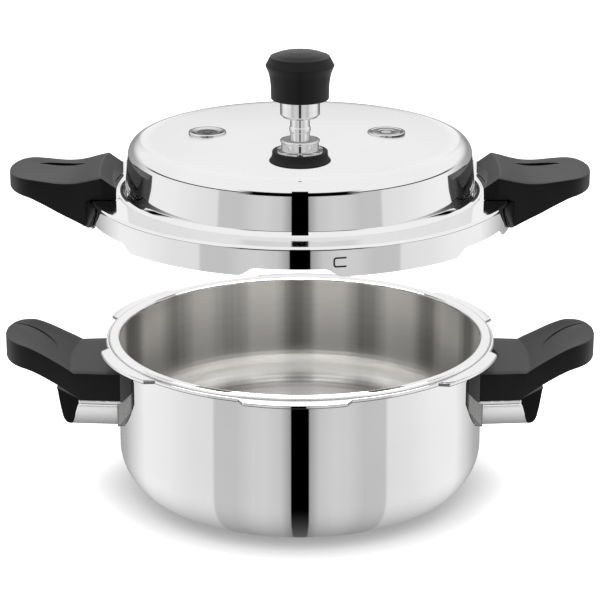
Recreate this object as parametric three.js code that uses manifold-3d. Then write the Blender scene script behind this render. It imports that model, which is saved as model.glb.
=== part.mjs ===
// Pressure pan with an outer bayonet lid, shown with the lid raised over the pan.
// Millimetres, +Z up, origin at the middle of the pan's underside, handles along X.
import * as THREE from 'three';
import { mergeVertices } from 'three/addons/utils/BufferGeometryUtils.js';
import Module from 'manifold-3d';

const wasm = await Module();
wasm.setup();

// Fits
const GAP = 0.3; // between pieces that touch
const BORE_GAP = 0.3; // round a shank in its hole
const LID_GAP = 0.8; // between the tabs and the lid skirt
const LOCK_GAP = 0.7; // between a lug's lip and the tab above it

// Pan
const PAN_R = 100;
const WALL = 1.2;
const FLOOR = 2.4;
const BOTTOM_FILLET = 28;
const TAB_TOP = 87.5;
const TAB_THICK = 2;
const TAB_REACH = 12.1; // beyond the pan's wall
const TAB_HALF = 13.8; // degrees at the outer edge
const TAB_ROOT_HALF = 16.1; // degrees at the flange
const RIM_FLANGE = 6.4; // beyond the pan's wall
const RIM_BEAD = 4.9; // beyond the pan's wall
const RIM_BEAD_H = 1.3;
const TAB_COUNT = 6;
const TAB_TURN = -1.4; // degrees, first tab from the front towards the right

// Pan handles, brackets and screws
const HANDLE_HALF = 29.6;
const HANDLE_DROP = 12.6; // from the tabs' top to the flat of the base
const HANDLE_DEPTH = 15.3; // of the base
const HANDLE_RISE = 30.1; // from the base's underside to the grip's top
const HANDLE_LENGTH = 61.5; // from the pan's wall
const POCKET_R = 27; // round hollow in the handle's top, beside the pan
const POCKET_IN = 17; // from the pan's wall in to its centre
const POCKET_DEPTH = 2.6;
const CHEEK_THICK = 3.2;
const BRACKET_H = 12;
const BRACKET_REACH = 23.3; // from the pan's wall, at its bottom edge
const BRACKET_SLANT = 3.6; // narrower at the top by this
const BRACKET_INSET = 1.8; // narrower than the handle at its outer end
const BRACKET_SPREAD = 5.6; // wider at the pan than there
const SHEET = 1.2;
const LIP_OUT = 0.9;
const LEG_OVER = 1.3; // below the bracket
const LEG_THICK = 5.2;
const SCREW_OUT = 10; // from the pan's wall
const SCREW_R = 2.3;
const SCREW_HEAD_R = 4.4;
const SCREW_HEAD_H = 2.4;
const SCREW_BITE = 6.5; // above the handle's underside
const BOSS_R = 6;

// Lid shell, heights from the top of its flange edge
const LIFT = 72.8;
const LUG_DROP = 15.5;
const NOTCH_RISE = 5.1;
const NOTCH_HALF = 11; // degrees at the lower edge
const NOTCH_TOP_HALF = 8.5;
const LIP_THICK = 1.4;
const LIP_HALF = 12.5; // degrees
const LIP_REACH = 5.5;
const EDGE_ROUND = 1.8;
const FLANGE_W = 20; // from the dome's foot to the skirt
const GROOVE_W = 2.7;
const GROOVE_DIP = 0.8;
const DOME_LEAN = 1.64;
const SHOULDER_FILLET = 9;
const SHOULDER_Z = 18;
const CROWN_H = 29.5;
const CROWN_SAG = 2.3;
const CROWN_INSET = 11.1; // from the dome's foot to the crown's edge
const TONGUE_TURN = 10; // degrees right of the front
const TONGUE_W = 6.6;
const TONGUE_H = 5.4;
const TONGUE_MID = 7.9; // below the flange edge
const TONGUE_SLOT = 0.9;
const PIN_HOLE_R = 1.25;
const PIN_HOLE_IN = 13.9; // inside the skirt
const PIN_HOLE_TURN = -76.6; // degrees, from the front towards the right

// Gasket
const GASKET_SIDE = 0.9; // between the gasket and the skirt
const GASKET_WIDTH = 15;
const GASKET_WEB = 2.6;

// Lid handles, brackets and screws
const GRIP_HALF = 27.6;
const GRIP_DOME_GAP = 5.4; // between the handle and the dome's foot
const GRIP_LIFT = 0.7; // from the lugs' lower edge to the handle's underside
const GRIP_RISE = 12; // above the flange edge
const GRIP_LENGTH = 42; // from the skirt
const GRIP_CHEEK_THICK = 3;
const TONGUE_PLATE_OUT = 13.9; // from the skirt
const TONGUE_PLATE_HALF = 12;
const LID_SCREW_OUT = 6.9; // from the skirt
const LID_SCREW_R = 2;
const LID_SCREW_HEAD_R = 3.8;
const LID_SCREW_HEAD_Z = -10;
const LID_SCREW_HEAD_H = 2.4;
const LID_SCREW_END = 4;

// Vent stem and weight, heights from the lid's crown at the stem
const VENT_Y = -52;
const BASE_RING_R = 14.4;
const BASE_RING_FLARE = 15.8;
const BASE_RING_INNER = 12.6;
const BASE_RING_H = 6.6;
const WASHER_R = 11.9;
const WASHER_THICK = 1.2;
const STEM_FLANGE_R = 9;
const STEM_FLANGE_H = 3.9;
const COLLAR_R = 10.2;
const COLLAR_WAIST = 9.3;
const COLLAR_TOP = 13.2;
const NECK_R = 5.2;
const NECK_BEAD = 0.4;
const NECK_TOP = 24.6;
const TIP_R = 3.4;
const TIP_TOP = 34.8;
const VENT_BORE = 1.6;
const STEM_SHANK_R = 4.4;
const STEM_SHANK_END = -13;
const WEIGHT_BOTTOM = 25.3;
const WEIGHT_TOP = 50;
const WEIGHT_CORE_R = 9;
const WEIGHT_SEAT = 36;
const PIN_R = 1.2;
const PIN_BOTTOM = 32.5;
const PIN_TOP = 45;
const CAP_BOTTOM = 34.7;
const CAP_FOOT_R = 14.9;
const CAP_WIDE_R = 17.6;
const CAP_WIDE_Z = 52.1;
const CAP_DOME_R = 15.2;
const CAP_DOME_Z = 56.4;
const CAP_TOP = 59.4;

// Fittings left and right of the lid's centre
const FITTING_Y = 4.7;
const PLUG_X = 46.4;
const INDICATOR_X = -49.8;
const FITTING_R = 10;
const FITTING_H = 2;
const PLUG_SHANK_R = 5.5;
const PLUG_CORE_R = 2.9;
const BEZEL_SHANK_R = 5;
const INDICATOR_R = 2.2;
const INDICATOR_RISE = 4;
const SHANK_END = -8.5;
const NUT_R = 8.6;
const NUT_H = 4.6;
const CLIP_R = 3.8;
const CLIP_H = 1;

// Facets round a turned piece
const BIG_TURN = 48;
const DISC_TURN = 22;
const SMALL_TURN = 18;
const PIN_TURN = 12;

const TAB_R = PAN_R + TAB_REACH;
const RIM_FLANGE_R = PAN_R + RIM_FLANGE;
const RIM_BEAD_R = PAN_R + RIM_BEAD;
const HANDLE_TOP = TAB_TOP - HANDLE_DROP;
const HANDLE_BASE = HANDLE_TOP - HANDLE_DEPTH;
const BRACKET_TOP = HANDLE_BASE - GAP;
const BRACKET_BOTTOM = BRACKET_TOP - BRACKET_H;
const BRACKET_OUTER = PAN_R + BRACKET_REACH;
const SCREW_X = PAN_R + SCREW_OUT;
const SKIRT_INNER = TAB_R + LID_GAP;
const SKIRT_R = SKIRT_INNER + WALL;
const TAB_BOTTOM = TAB_TOP - TAB_THICK;
const RIM_TOP = TAB_TOP + RIM_BEAD_H;
const CLOSED_Z = TAB_BOTTOM - LOCK_GAP - LIP_THICK + LUG_DROP;
const LID_Z = CLOSED_Z + LIFT;
const DOME_R = SKIRT_R - FLANGE_W;
const GROOVE_R = DOME_R + GROOVE_W;
const SHOULDER_R = DOME_R - DOME_LEAN;
const CROWN_R = DOME_R - CROWN_INSET;
const GASKET_OUTER = SKIRT_INNER - GASKET_SIDE;
const GASKET_INNER = GASKET_OUTER - GASKET_WIDTH;
const GRIP_INNER_R = DOME_R + GRIP_DOME_GAP;
const GRIP_BASE = LUG_DROP - GRIP_LIFT;
const LID_SCREW_X = SKIRT_R + LID_SCREW_OUT;

const polished = new THREE.MeshStandardMaterial({ color: 0xd9dadb, roughness: 0.1, metalness: 1 });
const bakelite = new THREE.MeshStandardMaterial({ color: 0x1d1d1e, roughness: 0.45, metalness: 0 });
const rubber = new THREE.MeshStandardMaterial({ color: 0x3a3a3c, roughness: 0.8, metalness: 0 });
const alloy = new THREE.MeshStandardMaterial({ color: 0xb9b8b2, roughness: 0.35, metalness: 1 });

const rad = THREE.MathUtils.degToRad;

// Closed triangle mesh as a boolean solid, wound so that its volume is positive
function solid(geometry) {
  geometry.deleteAttribute('normal');
  geometry.deleteAttribute('uv');
  const merged = mergeVertices(geometry, 1e-3);
  const spots = new Float32Array(merged.attributes.position.array);
  const corner = (i) => new THREE.Vector3(spots[3 * i], spots[3 * i + 1], spots[3 * i + 2]);
  const triangles = [];
  let volume = 0;
  for (let i = 0; i < merged.index.count; i += 3) {
    const [a, b, c] = [0, 1, 2].map((k) => merged.index.getX(i + k));
    if (a !== b && b !== c && c !== a) {
      triangles.push([a, b, c]);
      volume += corner(a).dot(corner(b).cross(corner(c)));
    }
  }
  const wound = triangles.map(([a, b, c]) => (volume < 0 ? [a, c, b] : [a, b, c]));
  const triVerts = new Uint32Array(wound.flat());
  return new wasm.Manifold(new wasm.Mesh({ numProp: 3, vertProperties: spots, triVerts }));
}

// Solid of revolution about Z from [radius, height] pairs that run round the section
function turned(profile, segments = SMALL_TURN) {
  const points = profile.map(([r, z]) => new THREE.Vector2(r, z));
  const onAxis = profile[0][0] === 0 && profile.at(-1)[0] === 0;
  if (!onAxis) points.push(points[0].clone());
  return solid(new THREE.LatheGeometry(points, segments).rotateX(Math.PI / 2));
}

// Flat outline in X and Y, raised from one height to another
function plate(outline, from, to) {
  const shape = new THREE.Shape(outline.map(([x, y]) => new THREE.Vector2(x, y)));
  const options = { depth: to - from, bevelEnabled: false };
  return solid(new THREE.ExtrudeGeometry(shape, options).translate(0, 0, from));
}

// Outline in X and Z, spread to both sides of the X axis
function slab(outline, half) {
  const shape = new THREE.Shape(outline.map(([x, z]) => new THREE.Vector2(x, z)));
  const options = { depth: 2 * half, bevelEnabled: false };
  const geometry = new THREE.ExtrudeGeometry(shape, options).rotateX(Math.PI / 2);
  return solid(geometry.translate(0, half, 0));
}

// Outline in Y and Z, run along X from one place to another
function bar(outline, from, to) {
  const shape = new THREE.Shape(outline.map(([y, z]) => new THREE.Vector2(y, z)));
  const options = { depth: to - from, bevelEnabled: false };
  const geometry = new THREE.ExtrudeGeometry(shape, options);
  return solid(geometry.rotateX(Math.PI / 2).rotateZ(Math.PI / 2).translate(from, 0, 0));
}

function arc(cx, cy, r, from, to, steps) {
  const spot = (i) => rad(from + ((to - from) * i) / steps);
  const angles = Array.from({ length: steps + 1 }, (_, i) => spot(i));
  return angles.map((a) => [cx + r * Math.cos(a), cy + r * Math.sin(a)]);
}

function spline(points, steps) {
  const curve = new THREE.SplineCurve(points.map(([x, y]) => new THREE.Vector2(x, y)));
  return curve.getPoints(steps).map((p) => [p.x, p.y]);
}

// One side of an outline, given for positive Y, closed by its mirror image
function mirrored(side) {
  const other = side.filter(([, y]) => y !== 0).map(([x, y]) => [x, -y]);
  return [...side, ...other.reverse()];
}

// Ring sector about the Z axis, its middle at an angle from the front towards the right
function sector(inner, outer, innerHalf, outerHalf, middle, from, to) {
  const at = middle - 90;
  const outside = arc(0, 0, outer, at - outerHalf, at + outerHalf, 5);
  const inside = arc(0, 0, inner, at + innerHalf, at - innerHalf, 5);
  return plate([...outside, ...inside], from, to);
}

function round(r, from, to, segments = SMALL_TURN) {
  return turned([[0, from], [r, from], [r, to], [0, to]], segments);
}

function hexagon(r, bore, from, to) {
  const outline = arc(0, 0, r, 0, 300, 5);
  return plate(outline, from, to).subtract(round(bore, from - 1, to + 1));
}

function mesh(name, body, material) {
  const data = body.getMesh();
  const geometry = new THREE.BufferGeometry();
  const spots = new THREE.Float32BufferAttribute(data.vertProperties, 3);
  geometry.setAttribute('position', spots);
  geometry.setIndex(new THREE.Uint32BufferAttribute(data.triVerts, 1));
  geometry.computeVertexNormals();
  const piece = new THREE.Mesh(geometry, material);
  piece.name = name;
  return piece;
}

function sixfold(make) {
  return Array.from({ length: TAB_COUNT }, (_, i) => make(TAB_TURN + (360 / TAB_COUNT) * i));
}

function panBody() {
  const inner = PAN_R - WALL;
  const insideFillet = BOTTOM_FILLET - FLOOR;
  const shell = turned([
    [0, 0],
    ...arc(PAN_R - BOTTOM_FILLET, BOTTOM_FILLET, BOTTOM_FILLET, -90, 0, 6),
    [PAN_R, TAB_BOTTOM - 1.5],
    [PAN_R + 1.5, TAB_BOTTOM],
    [RIM_FLANGE_R, TAB_BOTTOM],
    [RIM_FLANGE_R, TAB_TOP],
    [RIM_BEAD_R, TAB_TOP],
    [RIM_BEAD_R - 0.6, RIM_TOP],
    [inner + 1.4, RIM_TOP],
    [inner + 0.3, RIM_TOP - 0.6],
    [inner, RIM_TOP - 1.8],
    ...arc(inner - insideFillet, BOTTOM_FILLET, insideFillet, 0, -90, 5),
    [0, FLOOR],
  ], BIG_TURN);
  const root = RIM_BEAD_R - 1;
  const tabs = sixfold((at) =>
    sector(root, TAB_R, TAB_ROOT_HALF, TAB_HALF, at, TAB_BOTTOM, TAB_TOP));
  return tabs.reduce((body, tab) => body.add(tab), shell);
}

// Everything that a piece beside the pan has to keep clear of
function panClearance() {
  return round(PAN_R + GAP, 0, TAB_TOP, BIG_TURN);
}

// Sheet on the pan's wall, cut to an outline in Y and Z, on both sides of the handle
function wallWings(outline, thick) {
  const inner = PAN_R + GAP;
  const shell = turned([[inner, 0], [inner + thick, 0], [inner + thick, TAB_TOP], [inner, TAB_TOP]], BIG_TURN);
  const near = bar(outline, PAN_R / 2, PAN_R + thick + 1);
  const far = bar(outline.map(([y, z]) => [-y, z]), PAN_R / 2, PAN_R + thick + 1);
  return shell.intersect(near.add(far));
}

// Shares of a handle's length and rise as places in X and Z
function shares(start, length, base, rise, points) {
  return points.map(([along, up]) => [start + along * length, base + up * rise]);
}

function panHandle() {
  const slant = BRACKET_SLANT / BRACKET_H;
  const legInner = (z) => BRACKET_OUTER + LIP_OUT + GAP - slant * (z - BRACKET_BOTTOM);
  const legEnd = BRACKET_BOTTOM - LEG_OVER;
  const leg = shares(legInner(legEnd), LEG_THICK, legEnd, LEG_THICK, [[0.33, 0.08], [0.75, 0.67], [1, 1.73]]);
  const inside = PAN_R - HANDLE_LENGTH / 6;
  const place = (points) => shares(PAN_R, HANDLE_LENGTH, HANDLE_BASE, HANDLE_RISE, points);
  const tip = place([[0.878, 0.618], [0.959, 0.671], [1, 0.804], [0.979, 0.95], [0.878, 1]]);
  const saddle = place([[0.764, 0.95], [0.66, 0.854], [0.553, 0.751], [0.481, 0.645]]);
  const crease = PAN_R + 0.423 * HANDLE_LENGTH;
  const side = [
    [inside, HANDLE_BASE],
    [legInner(HANDLE_BASE), HANDLE_BASE],
    [legInner(legEnd), legEnd],
    ...leg,
    ...place([[0.517, 0.269]]),
    ...spline(tip, 12),
    ...spline([...saddle, [crease, HANDLE_TOP]], 8),
    [inside, HANDLE_TOP],
  ];
  const edge = [[0.423, 0.96], [0.553, 0.899], [0.748, 0.851], [0.878, 0.703], [0.969, 0.405], [1, 0]];
  const rim = shares(PAN_R, HANDLE_LENGTH, 0, HANDLE_HALF, [[0.325, 1], ...edge]);
  const outline = mirrored([[inside, HANDLE_HALF], ...spline(rim, 14)]);
  const grip = slab(side, HANDLE_HALF + 1).intersect(plate(outline, 0, TAB_TOP * 2));
  const cheek = wallWings([
    [HANDLE_HALF - 1.6, HANDLE_BASE],
    [HANDLE_HALF + 3.4, HANDLE_BASE + 0.2],
    [HANDLE_HALF + 9, HANDLE_BASE + 2.8],
    [HANDLE_HALF + 14, HANDLE_BASE + 6.8],
    [HANDLE_HALF + 18.4, HANDLE_BASE + 12.2],
    [HANDLE_HALF + 18.8, HANDLE_TOP],
    [HANDLE_HALF - 1.6, HANDLE_TOP],
  ], CHEEK_THICK);
  const boss = round(BOSS_R, BRACKET_BOTTOM + SHEET + GAP, HANDLE_BASE + 1).translate([SCREW_X, 0, 0]);
  const hole = round(SCREW_R + BORE_GAP, 0, HANDLE_BASE + SCREW_BITE + GAP).translate([SCREW_X, 0, 0]);
  const pocket = round(POCKET_R, HANDLE_TOP - POCKET_DEPTH, TAB_TOP).translate([PAN_R - POCKET_IN, 0, 0]);
  return grip.add(cheek).add(boss).subtract(panClearance()).subtract(hole).subtract(pocket);
}

function panBracket() {
  const top = BRACKET_TOP;
  const bottom = BRACKET_BOTTOM;
  const wedge = (inset, from, to) => [
    [PAN_R / 2, from],
    [BRACKET_OUTER - inset, from],
    [BRACKET_OUTER - BRACKET_SLANT - inset, to],
    [PAN_R / 2, to],
  ];
  const narrow = HANDLE_HALF - BRACKET_INSET;
  const outline = (inset) => mirrored([
    [PAN_R - BRACKET_REACH / 2, narrow + BRACKET_SPREAD - inset],
    [BRACKET_OUTER + LIP_OUT, narrow - inset],
  ]);
  const block = slab(wedge(0, bottom, top), PAN_R).intersect(plate(outline(0), bottom, top));
  const inside = slab(wedge(SHEET, bottom + SHEET, top + 1), PAN_R);
  const hollow = inside.intersect(plate(outline(SHEET), bottom + SHEET, top + 1));
  const lipEdge = [[PAN_R / 2, top - SHEET], [BRACKET_OUTER - BRACKET_SLANT + LIP_OUT, top - SHEET],
    [BRACKET_OUTER - BRACKET_SLANT + LIP_OUT, top], [PAN_R / 2, top]];
  const lip = slab(lipEdge, PAN_R).intersect(plate(outline(-LIP_OUT), bottom, top));
  const wings = wallWings([
    [HANDLE_HALF + 1.4, bottom],
    [HANDLE_HALF + 5.4, bottom + 0.9],
    [HANDLE_HALF + 10, bottom + 4.6],
    [HANDLE_HALF + 14, bottom + 9],
    [HANDLE_HALF + 18.2, bottom + 16],
    [HANDLE_HALF + 17.4, HANDLE_BASE + 10.2],
    [HANDLE_HALF + 14, HANDLE_BASE + 6.2],
    [HANDLE_HALF + 9, HANDLE_BASE + 2.2],
    [HANDLE_HALF + 3.4, top],
    [HANDLE_HALF + 1.4, top],
  ], SHEET);
  const hole = round(SCREW_R + BORE_GAP, 0, top).translate([SCREW_X, 0, 0]);
  const tray = block.add(lip).subtract(hollow).subtract(hole).subtract(panClearance());
  return tray.add(wings);
}

function screw(r, headR, headH, length) {
  const head = [[0, 0], [headR - 1, 0], [headR, 0.8], [headR, headH]];
  return turned([...head, [r, headH], [r, length - 1], [r - 0.8, length], [0, length]], PIN_TURN);
}

// Height of the crown's outer surface at a distance from the lid's axis
function crownZ(r) {
  return CROWN_H - CROWN_SAG * (r / CROWN_R) ** 2;
}

// Points along the crown, moved up by an offset
function crownLine(offset) {
  const radii = [0, 0.36, 0.675, 0.915].map((share) => share * CROWN_R);
  return radii.map((r) => [r, crownZ(r) + offset]);
}

// The lid's outer line from the axis to the groove at the foot of the dome
function domeLine(inset) {
  const crown = crownLine(-inset);
  const centre = SHOULDER_R - SHOULDER_FILLET + 0.04;
  const shoulder = arc(centre, SHOULDER_Z, SHOULDER_FILLET - inset, 86, 6, 4);
  return [...crown, ...shoulder, [DOME_R - inset, GROOVE_DIP + 2.2]];
}

function lidShell() {
  const outside = [
    ...domeLine(0),
    [DOME_R + 0.9, 0.4],
    [GROOVE_R, -GROOVE_DIP],
    [SKIRT_R - EDGE_ROUND - 0.6, 0],
    ...arc(SKIRT_R - EDGE_ROUND, -EDGE_ROUND, EDGE_ROUND, 70, 0, 2),
    [SKIRT_R, -LUG_DROP],
  ];
  const inside = [
    [SKIRT_INNER, -LUG_DROP],
    [SKIRT_INNER, -WALL - 1],
    [SKIRT_INNER - 1.2, -WALL],
    [GROOVE_R - 0.4, -GROOVE_DIP - WALL],
    [DOME_R - 0.4, -0.6],
    ...domeLine(WALL).reverse(),
  ];
  const shell = turned([...outside, ...inside], BIG_TURN);
  const cuts = [...sixfold(notch), ...releaseTongue(), ...fittingHoles()];
  const lips = sixfold(lugLip);
  const cut = cuts.reduce((body, tool) => body.subtract(tool), shell);
  return lips.reduce((body, lip) => body.add(lip), cut);
}

// Opening in the skirt's lower edge, with ramped sides
function notch(at) {
  const wide = SKIRT_R * Math.sin(rad(NOTCH_HALF));
  const narrow = SKIRT_R * Math.sin(rad(NOTCH_TOP_HALF));
  const rise = NOTCH_RISE - LUG_DROP;
  const outline = [[-wide - 4, -LUG_DROP - 1], [wide + 4, -LUG_DROP - 1], [wide, rise - 2.4],
    [narrow, rise], [-narrow, rise], [-wide, rise - 2.4]];
  return bar(outline, SKIRT_INNER * 0.9, SKIRT_R + 2).rotate([0, 0, at - 90]);
}

// Lip under a lug, which hooks below a tab of the pan
function lugLip(at) {
  const middle = at + 180 / TAB_COUNT;
  const inner = SKIRT_INNER - LIP_REACH;
  const outer = SKIRT_INNER + WALL / 2;
  return sector(inner, outer, LIP_HALF, LIP_HALF, middle, -LUG_DROP, LIP_THICK - LUG_DROP);
}

// Three slots that leave a tongue in the skirt for the gasket to push through
function releaseTongue() {
  const half = TONGUE_W / 2;
  const low = -TONGUE_MID - TONGUE_H / 2;
  const high = -TONGUE_MID + TONGUE_H / 2;
  const slot = (y0, y1, z0, z1) =>
    bar([[y0, z0], [y1, z0], [y1, z1], [y0, z1]], SKIRT_INNER - 3, SKIRT_R + 1);
  const slots = [
    slot(-half, half, high - TONGUE_SLOT, high),
    slot(-half, half, low, low + TONGUE_SLOT),
    slot(-half, TONGUE_SLOT - half, low, high),
  ];
  return slots.map((tool) => tool.rotate([0, 0, TONGUE_TURN - 90]));
}

function fittingHoles() {
  const hole = (r, x, y) => round(r + BORE_GAP, -5, CROWN_H + 5).translate([x, y, 0]);
  const pinR = SKIRT_R - PIN_HOLE_IN;
  const pinTurn = rad(PIN_HOLE_TURN);
  return [
    hole(STEM_SHANK_R, 0, VENT_Y),
    hole(PLUG_SHANK_R, PLUG_X, FITTING_Y),
    hole(BEZEL_SHANK_R, INDICATOR_X, FITTING_Y),
    hole(PIN_HOLE_R - BORE_GAP, pinR * Math.sin(pinTurn), -pinR * Math.cos(pinTurn)),
  ];
}

function gasket() {
  const top = -GROOVE_DIP - WALL - GAP;
  const bottom = RIM_TOP - CLOSED_Z + GAP;
  const middle = (top + bottom) / 2;
  return turned([
    [GASKET_INNER, top - 0.5],
    [GASKET_INNER + 1.5, top],
    [GASKET_OUTER - 0.8, top],
    [GASKET_OUTER, middle],
    [GASKET_OUTER - 0.8, bottom],
    [GASKET_INNER + 1.5, bottom],
    [GASKET_INNER, bottom + 0.5],
    [GASKET_OUTER - GASKET_WEB - 1, middle],
  ], BIG_TURN);
}

// Everything of the lid that its handles keep clear of
function lidClearance() {
  const edge = SKIRT_R + GAP;
  return turned([
    [0, -LUG_DROP - 5],
    [edge, -LUG_DROP - 5],
    [edge, GAP],
    [GRIP_INNER_R, GAP],
    [GRIP_INNER_R, CROWN_H],
    [0, CROWN_H],
  ], BIG_TURN);
}

function lidHandle() {
  const inside = DOME_R - FLANGE_W / 2;
  const place = (points) => shares(SKIRT_R, GRIP_LENGTH, 0, GRIP_RISE, points);
  const tip = place([[0.875, 0.117], [0.965, 0.333], [1, 0.6], [0.965, 0.8], [0.8, 0.867]]);
  const saddle = place([[0.569, 0.783], [0.236, 0.7], [-0.03, 0.867], [-0.16, 1]]);
  const heel = place([[-0.369, 0.3]]);
  const side = [
    [inside, -GRIP_BASE],
    [SKIRT_R + 0.043 * GRIP_LENGTH, -GRIP_BASE],
    ...spline(tip, 10),
    ...spline(saddle, 8),
    ...heel,
    [inside, heel[0][1]],
  ];
  const edge = [[0.048, 0.957], [0.348, 0.92], [0.674, 0.877], [0.85, 0.71], [0.96, 0.413], [1, 0]];
  const rim = shares(SKIRT_R, GRIP_LENGTH, 0, GRIP_HALF, [[-0.203, 1], ...edge]);
  const outline = mirrored([[inside, GRIP_HALF], ...spline(rim, 14)]);
  const body = slab(side, GRIP_HALF + 1).intersect(plate(outline, -LUG_DROP - 1, CROWN_H));
  return body.add(lidCheek()).subtract(lidClearance()).subtract(lidHandlePocket());
}

// Wing of the lid handle along the skirt, its lower edge swept up at both ends
function lidCheek() {
  const cheek = sector(SKIRT_R - 1, SKIRT_R + GRIP_CHEEK_THICK, 20, 18, 90, -GRIP_BASE, -EDGE_ROUND);
  const sweep = [
    [GRIP_HALF - 3.6, -GRIP_BASE - 1],
    [GRIP_HALF * 2, -GRIP_BASE - 1],
    [GRIP_HALF * 2, 0],
    [GRIP_HALF + 11.4, -GRIP_BASE / 4],
    [GRIP_HALF + 7.4, 5.6 - GRIP_BASE],
    [GRIP_HALF + 3.6, 1.6 - GRIP_BASE],
    [GRIP_HALF + 1.4, -GRIP_BASE],
  ];
  const other = sweep.map(([y, z]) => [-y, z]);
  const reach = SKIRT_R + GRIP_LENGTH;
  return cheek.subtract(bar(sweep, DOME_R / 2, reach)).subtract(bar(other, DOME_R / 2, reach));
}

// Room in the lid handle for its bracket and its screw
function lidHandlePocket() {
  const half = TONGUE_PLATE_HALF + GAP;
  const end = SKIRT_R + TONGUE_PLATE_OUT + GAP;
  const slot = plate(mirrored([[DOME_R, half], [end, half]]), 0, SHEET + 2 * GAP);
  const bore = round(LID_SCREW_R + BORE_GAP, -LUG_DROP, LID_SCREW_END + GAP);
  const sink = round(LID_SCREW_HEAD_R + GAP, -LUG_DROP - 1, LID_SCREW_HEAD_Z + LID_SCREW_HEAD_H + GAP);
  return slot.add(bore.add(sink).translate([LID_SCREW_X, 0, 0]));
}

function lidBracket() {
  const half = TONGUE_PLATE_HALF;
  const start = GRIP_INNER_R + 1;
  const end = SKIRT_R + TONGUE_PLATE_OUT;
  const outline = mirrored([[start, half], [end - half / 3, half], [end, half * 0.67]]);
  const bore = round(LID_SCREW_R + BORE_GAP, -1, SHEET + 2).translate([LID_SCREW_X, 0, 0]);
  return plate(outline, GAP, GAP + SHEET).subtract(bore);
}

// What lies below the crown's outer surface, or above its inner one, seen from a fitting on it
function belowCrown(x, y) {
  const line = crownLine(GAP);
  const below = turned([...line, [line.at(-1)[0], -5], [0, -5]], BIG_TURN);
  return below.translate([-x, -y, -crownZ(Math.hypot(x, y))]);
}

function aboveCrown(x, y) {
  const line = crownLine(-WALL - GAP);
  const roof = CROWN_H + 5;
  const low = turned([...line, [line.at(-1)[0], roof], [0, roof]], BIG_TURN);
  return low.translate([-x, -y, -crownZ(Math.hypot(x, y))]);
}

function ventBaseRing() {
  const ring = turned([
    [BASE_RING_INNER, -2],
    [BASE_RING_FLARE, -2],
    [BASE_RING_FLARE, 0.8],
    [BASE_RING_R + 0.6, 2.4],
    [BASE_RING_R, BASE_RING_H - 1.2],
    [BASE_RING_R - 0.4, BASE_RING_H - 0.2],
    [BASE_RING_R - 1, BASE_RING_H],
    [BASE_RING_INNER, BASE_RING_H - 0.6],
  ], DISC_TURN);
  return ring.subtract(belowCrown(0, VENT_Y));
}

function ventPipe() {
  const beadAt = (COLLAR_TOP + NECK_TOP) / 2;
  const flange = turned([[VENT_BORE, -2], [STEM_FLANGE_R, -2], [STEM_FLANGE_R, STEM_FLANGE_H],
    [VENT_BORE, STEM_FLANGE_H]]).subtract(belowCrown(0, VENT_Y));
  const stem = turned([
    [VENT_BORE, STEM_SHANK_END],
    [STEM_SHANK_R, STEM_SHANK_END],
    [STEM_SHANK_R, 1.5],
    [NECK_R, 1.5],
    [NECK_R, beadAt - 1],
    [NECK_R + NECK_BEAD, beadAt - 0.7],
    [NECK_R + NECK_BEAD, beadAt + 0.7],
    [NECK_R, beadAt + 1],
    [NECK_R, NECK_TOP],
    [TIP_R, NECK_TOP + 0.3],
    [TIP_R, TIP_TOP - 1],
    [TIP_R - 1, TIP_TOP],
    [VENT_BORE, TIP_TOP],
  ]);
  return stem.add(flange);
}

function ventWasher() {
  const from = STEM_FLANGE_H + GAP;
  const bore = NECK_R + BORE_GAP;
  return turned([[bore, from], [WASHER_R, from], [WASHER_R, from + WASHER_THICK], [bore, from + WASHER_THICK]]);
}

function ventCollar() {
  const from = STEM_FLANGE_H + WASHER_THICK + 2 * GAP;
  const bore = NECK_R + BORE_GAP;
  return turned([
    [bore, from],
    [COLLAR_WAIST, from],
    [COLLAR_WAIST, COLLAR_TOP - 2.4],
    [COLLAR_R, COLLAR_TOP - 1.2],
    [COLLAR_R, COLLAR_TOP - 0.4],
    [COLLAR_R - 0.4, COLLAR_TOP],
    [bore, COLLAR_TOP],
  ]);
}

function crownNut(bore, x, y) {
  const from = -WALL - GAP - NUT_H;
  return hexagon(NUT_R, bore + BORE_GAP, from, 0).subtract(aboveCrown(x, y));
}

function weightBody() {
  const mouth = NECK_R + BORE_GAP;
  const bore = TIP_R + BORE_GAP;
  const core = WEIGHT_CORE_R;
  const shelf = CAP_BOTTOM + 1.3;
  return turned([
    [mouth, WEIGHT_BOTTOM],
    [COLLAR_R - 1.2, WEIGHT_BOTTOM],
    [COLLAR_R, WEIGHT_BOTTOM + 1.2],
    [COLLAR_R, shelf],
    [core, shelf],
    [core, WEIGHT_TOP],
    [PIN_R + BORE_GAP, WEIGHT_TOP],
    [PIN_R + BORE_GAP, WEIGHT_SEAT],
    [bore, WEIGHT_SEAT],
    [bore, WEIGHT_BOTTOM + 1.6],
    [mouth, WEIGHT_BOTTOM + 0.8],
  ]);
}

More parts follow.
